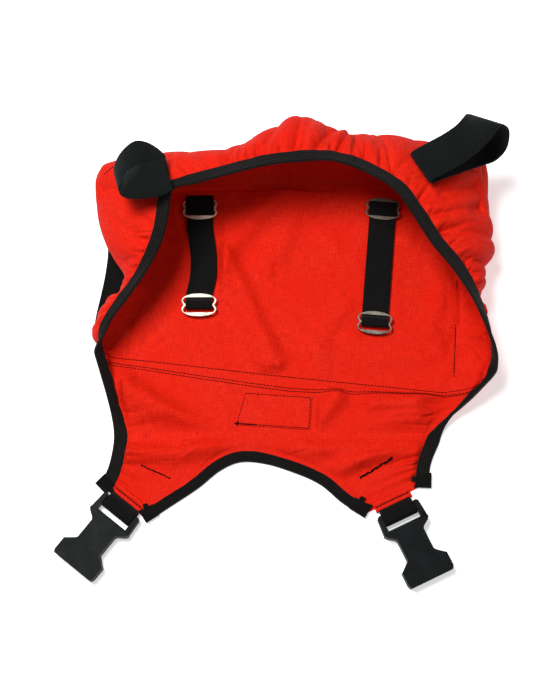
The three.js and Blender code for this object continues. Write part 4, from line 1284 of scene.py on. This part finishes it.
# ---------------------------------------------------------------- stitching
class Stitches:
    """Gathers stitches of one body into one mesh."""

    def __init__(self):
        self.vertices, self.faces = [], []

    def add(self, line, normals, pitch=2.6, length=2.4, radius=0.30, lift=0.24, bury=0.10):
        """Stitches along a line, each rising over the cloth and dipping at both ends."""
        total = run(line)[-1]
        count = int(total / pitch)
        for k in range(count):
            centre = (k + 0.5) * total / count
            spots = centre + np.linspace(-0.5, 0.5, 5) * length
            points = along(line, spots)
            up = unit(np.stack([np.interp(spots, run(line), normals[:, c]) for c in range(3)], axis=1))
            heading = unit(points[-1] - points[0])
            across = unit(np.cross(up, heading))
            rises = (-bury, lift * 0.8, lift, lift * 0.8, -bury)
            sizes = (0.55, 0.95, 1.0, 0.95, 0.55)
            first = len(self.vertices)
            for point, u, a, rise, size in zip(points, up, across, rises, sizes):
                for m in range(6):
                    angle = m * math.pi / 3
                    self.vertices.append(point + u * (rise + radius * size * math.sin(angle))
                                         + a * radius * size * math.cos(angle))
            for ring in range(4):
                for m in range(6):
                    a0, a1 = first + ring * 6 + m, first + ring * 6 + (m + 1) % 6
                    self.faces.append((a0, a1, a1 + 6, a0 + 6))
            self.faces.append(tuple(first + m for m in range(5, -1, -1)))
            self.faces.append(tuple(first + 24 + m for m in range(6)))

    def make(self, name, body):
        stand_for(add_mesh(name, np.array(self.vertices), self.faces, THREAD), body, "binding")


def nearest_cell(grid, x, y):
    """The row and column of a grid's point that lies nearest a place seen from above."""
    return divmod(int(np.argmin((grid[..., 0] - x) ** 2 + (grid[..., 1] - y) ** 2)), grid.shape[1])


pouch_stitches, flap_stitches = Stitches(), Stitches()
lower_normals = grid_normals(lower_cloth)
if lower_normals[10, 100, 2] < 0:
    lower_normals = -lower_normals
fine_down = lengths_down(lower_cloth)
columns = np.arange(6, lower_cloth.shape[1] - 6, 1.0)
apart = np.interp(columns, [0, columns[-1] * 0.5, columns[-1]], [5.5, 9.5, 6.5])
for distance in (0.9 + 0 * apart, apart, apart + 2.2):
    rows = np.array([np.interp(d, fine_down[:, int(j)], np.arange(len(fine_down)))
                     for d, j in zip(distance, columns)])
    pouch_stitches.add(grid_point(lower_cloth, rows, columns), grid_point(lower_normals, rows, columns))

UP = np.array([0.0, 0.0, 1.0])
# The side seam runs just inside the foot of the right wall and a little past it.
seam_top, seam_foot = (base_curve.at(station / LAST_STATION)[0] for station in (16.5, 19))
side_seam = np.linspace(seam_top, seam_foot + 0.18 * (seam_foot - seam_top), 30) + (-1.8, 0, 0.7)
pouch_stitches.add(side_seam, np.tile(UP, (30, 1)))


def on_outer_wall(path, count):
    """Points and outward normals of the outer wall along a path seen from above."""
    middle = wall_cloth.shape[1] // 2
    upper = wall_cloth[:, middle:]
    outward = -grid_normals(wall_cloth)[:, middle:]
    line = Spline(path).even(np.linspace(0, 1, count))
    spots, normals = [], []
    for x, y in line:
        i, j = nearest_cell(upper, x, y)
        spots.append(upper[i, j])
        normals.append(outward[i, j])
    return np.array(spots), np.array(normals)


for dart in dart_paths:
    pouch_stitches.add(*on_outer_wall(dart, 12), pitch=2.4, length=2.0)


def over_flap(points, lift):
    """Points just above the flap's cloth at places seen from above."""
    spots = []
    for x, y in points:
        spots.append((x, y, lower_cloth[nearest_cell(lower_cloth, x, y)][2] + lift))
    return np.array(spots)


BARTACKS = {  # rise: height above the hem's stitching; tilt: how much its inner end is lower or higher
    "left": {"length": 23, "rise": 27, "shift": -2, "tilt": 3, "strands": 2, "wander": 0.35},
    "right": {"length": 28, "rise": 26, "shift": 0, "tilt": 1.5, "strands": 3, "wander": 0.9},
}
rng = np.random.default_rng(8)
for tack_side, tack in BARTACKS.items():
    tack_y = HEM["start"] + HEM_SEAM - tack["rise"]
    start, end = (np.array(tab_point(tack_side, tack["shift"] + sign * tack["length"] / 2,
                                     tack_y + sign * tack["tilt"], 0)[:2]) for sign in (1, -1))
    heading = unit(end - start)
    sideways = np.array([-heading[1], heading[0]])
    for strand in range(tack["strands"]):
        shares = np.linspace(0, 1, 26)
        offsets = tack["wander"] * rng.uniform(-1, 1, 26)
        line = over_flap(start + np.outer(shares, end - start) + np.outer(offsets, sideways), 0.15)
        flap_stitches.add(line, np.tile(UP, (26, 1)), pitch=1.9, length=2.1, radius=0.42, lift=0.4)

inset = 0.9
frame_corners = [(-0.82, 1), (1, 1), (1, -1), (-1, -1), (-0.82, 1)]  # its left side slants
for (ax, ay), (bx, by) in zip(frame_corners[:-1], frame_corners[1:]):
    line = np.array([label_point((ax + (bx - ax) * share) * (half_width - inset),
                                 (ay + (by - ay) * share) * (half_depth - inset), LABEL_Z + 0.45)
                     for share in np.linspace(0, 1, 12)])
    pouch_stitches.add(line, np.tile(UP, (12, 1)), radius=0.24)
knot_line = np.array([label_point(x, -half_depth + inset, LABEL_Z + 0.5)
                      for x in np.linspace(-half_width - 1, -12, 16)])
pouch_stitches.add(knot_line, np.tile(UP, (16, 1)), pitch=1.8, length=2.2, radius=0.45, lift=0.3)
knot_cross = np.array([label_point(-half_width + 1.4 + 0.3 * y, -half_depth + inset + y, LABEL_Z + 0.5)
                       for y in np.linspace(-1.6, 1.8, 5)])
pouch_stitches.add(knot_cross, np.tile(UP, (5, 1)), pitch=1.7, length=2.0, radius=0.4, lift=0.35)

pouch_stitches.make("pouch_stitching", "pouch")
for line in hem_lines.values():
    flap_stitches.add(line, np.tile(UP, (len(line), 1)), pitch=2.6, length=2.5, radius=0.42, lift=0.3)
flap_stitches.make("flap_stitching", "leg_flap")

# ---------------------------------------------------------------- floor, light and camera
floor_mesh = bpy.data.meshes.new("floor")
reach = 4.0
floor_corners = [(-reach, -reach, 0), (reach, -reach, 0), (reach, reach, 0), (-reach, reach, 0)]
floor_mesh.from_pydata(floor_corners, [], [(0, 1, 2, 3)])
floor = place_object("floor", floor_mesh)
floor.location.z = -0.0002
paper = Nodes("pale_paper")
speck = paper.noise(paper.place((300, 300, 300)), detail=2.0)
paper.finish(paper.mix(paper.stretch(speck, 0.3, 0.7), (0.93, 0.93, 0.93, 1), (0.95, 0.95, 0.95, 1)), 0.9, None,
             Emission_Color=(1, 1, 1, 1), Emission_Strength=0.45)
floor_mesh.materials.append(paper.material)


def area_light(name, location, target, size, power):
    data = bpy.data.lights.new(name, "AREA")
    data.shape = "SQUARE"
    data.size = size
    data.energy = power
    obj = place_object(name, data)
    obj.location = location
    obj.rotation_mode = "QUATERNION"
    obj.rotation_quaternion = (Vector(target) - Vector(location)).to_track_quat("-Z", "Y")


area_light("key_light", (-0.38, 0.14, 1.25), (0, -0.05, 0), 0.45, 21)
area_light("fill_light", (0.8, -0.5, 1.1), (0, -0.05, 0), 1.2, 3.5)

world = bpy.data.worlds.new("studio")
world.use_nodes = True
world.node_tree.nodes["Background"].inputs["Color"].default_value = (1, 1, 1, 1)
world.node_tree.nodes["Background"].inputs["Strength"].default_value = 0.16
scene = bpy.context.scene
scene.world = world
scene.view_settings.view_transform = "Standard"

TARGET = (-8.0, -62.0, 0.0)
ELEVATION = math.radians(75)
DISTANCE = 1000.0
FRAME_HEIGHT = 525.0  # millimetres across the picture's height at the target
camera_data = bpy.data.cameras.new("camera")
camera_data.sensor_width = 36
camera_data.lens = camera_data.sensor_width * DISTANCE / FRAME_HEIGHT
camera_data.clip_start = 0.05
camera = place_object("camera", camera_data)
camera.location = (TARGET[0] * MM, (TARGET[1] - DISTANCE * math.cos(ELEVATION)) * MM,
                   DISTANCE * math.sin(ELEVATION) * MM)
camera.rotation_euler = (math.pi / 2 - ELEVATION, 0, 0)
scene.camera = camera
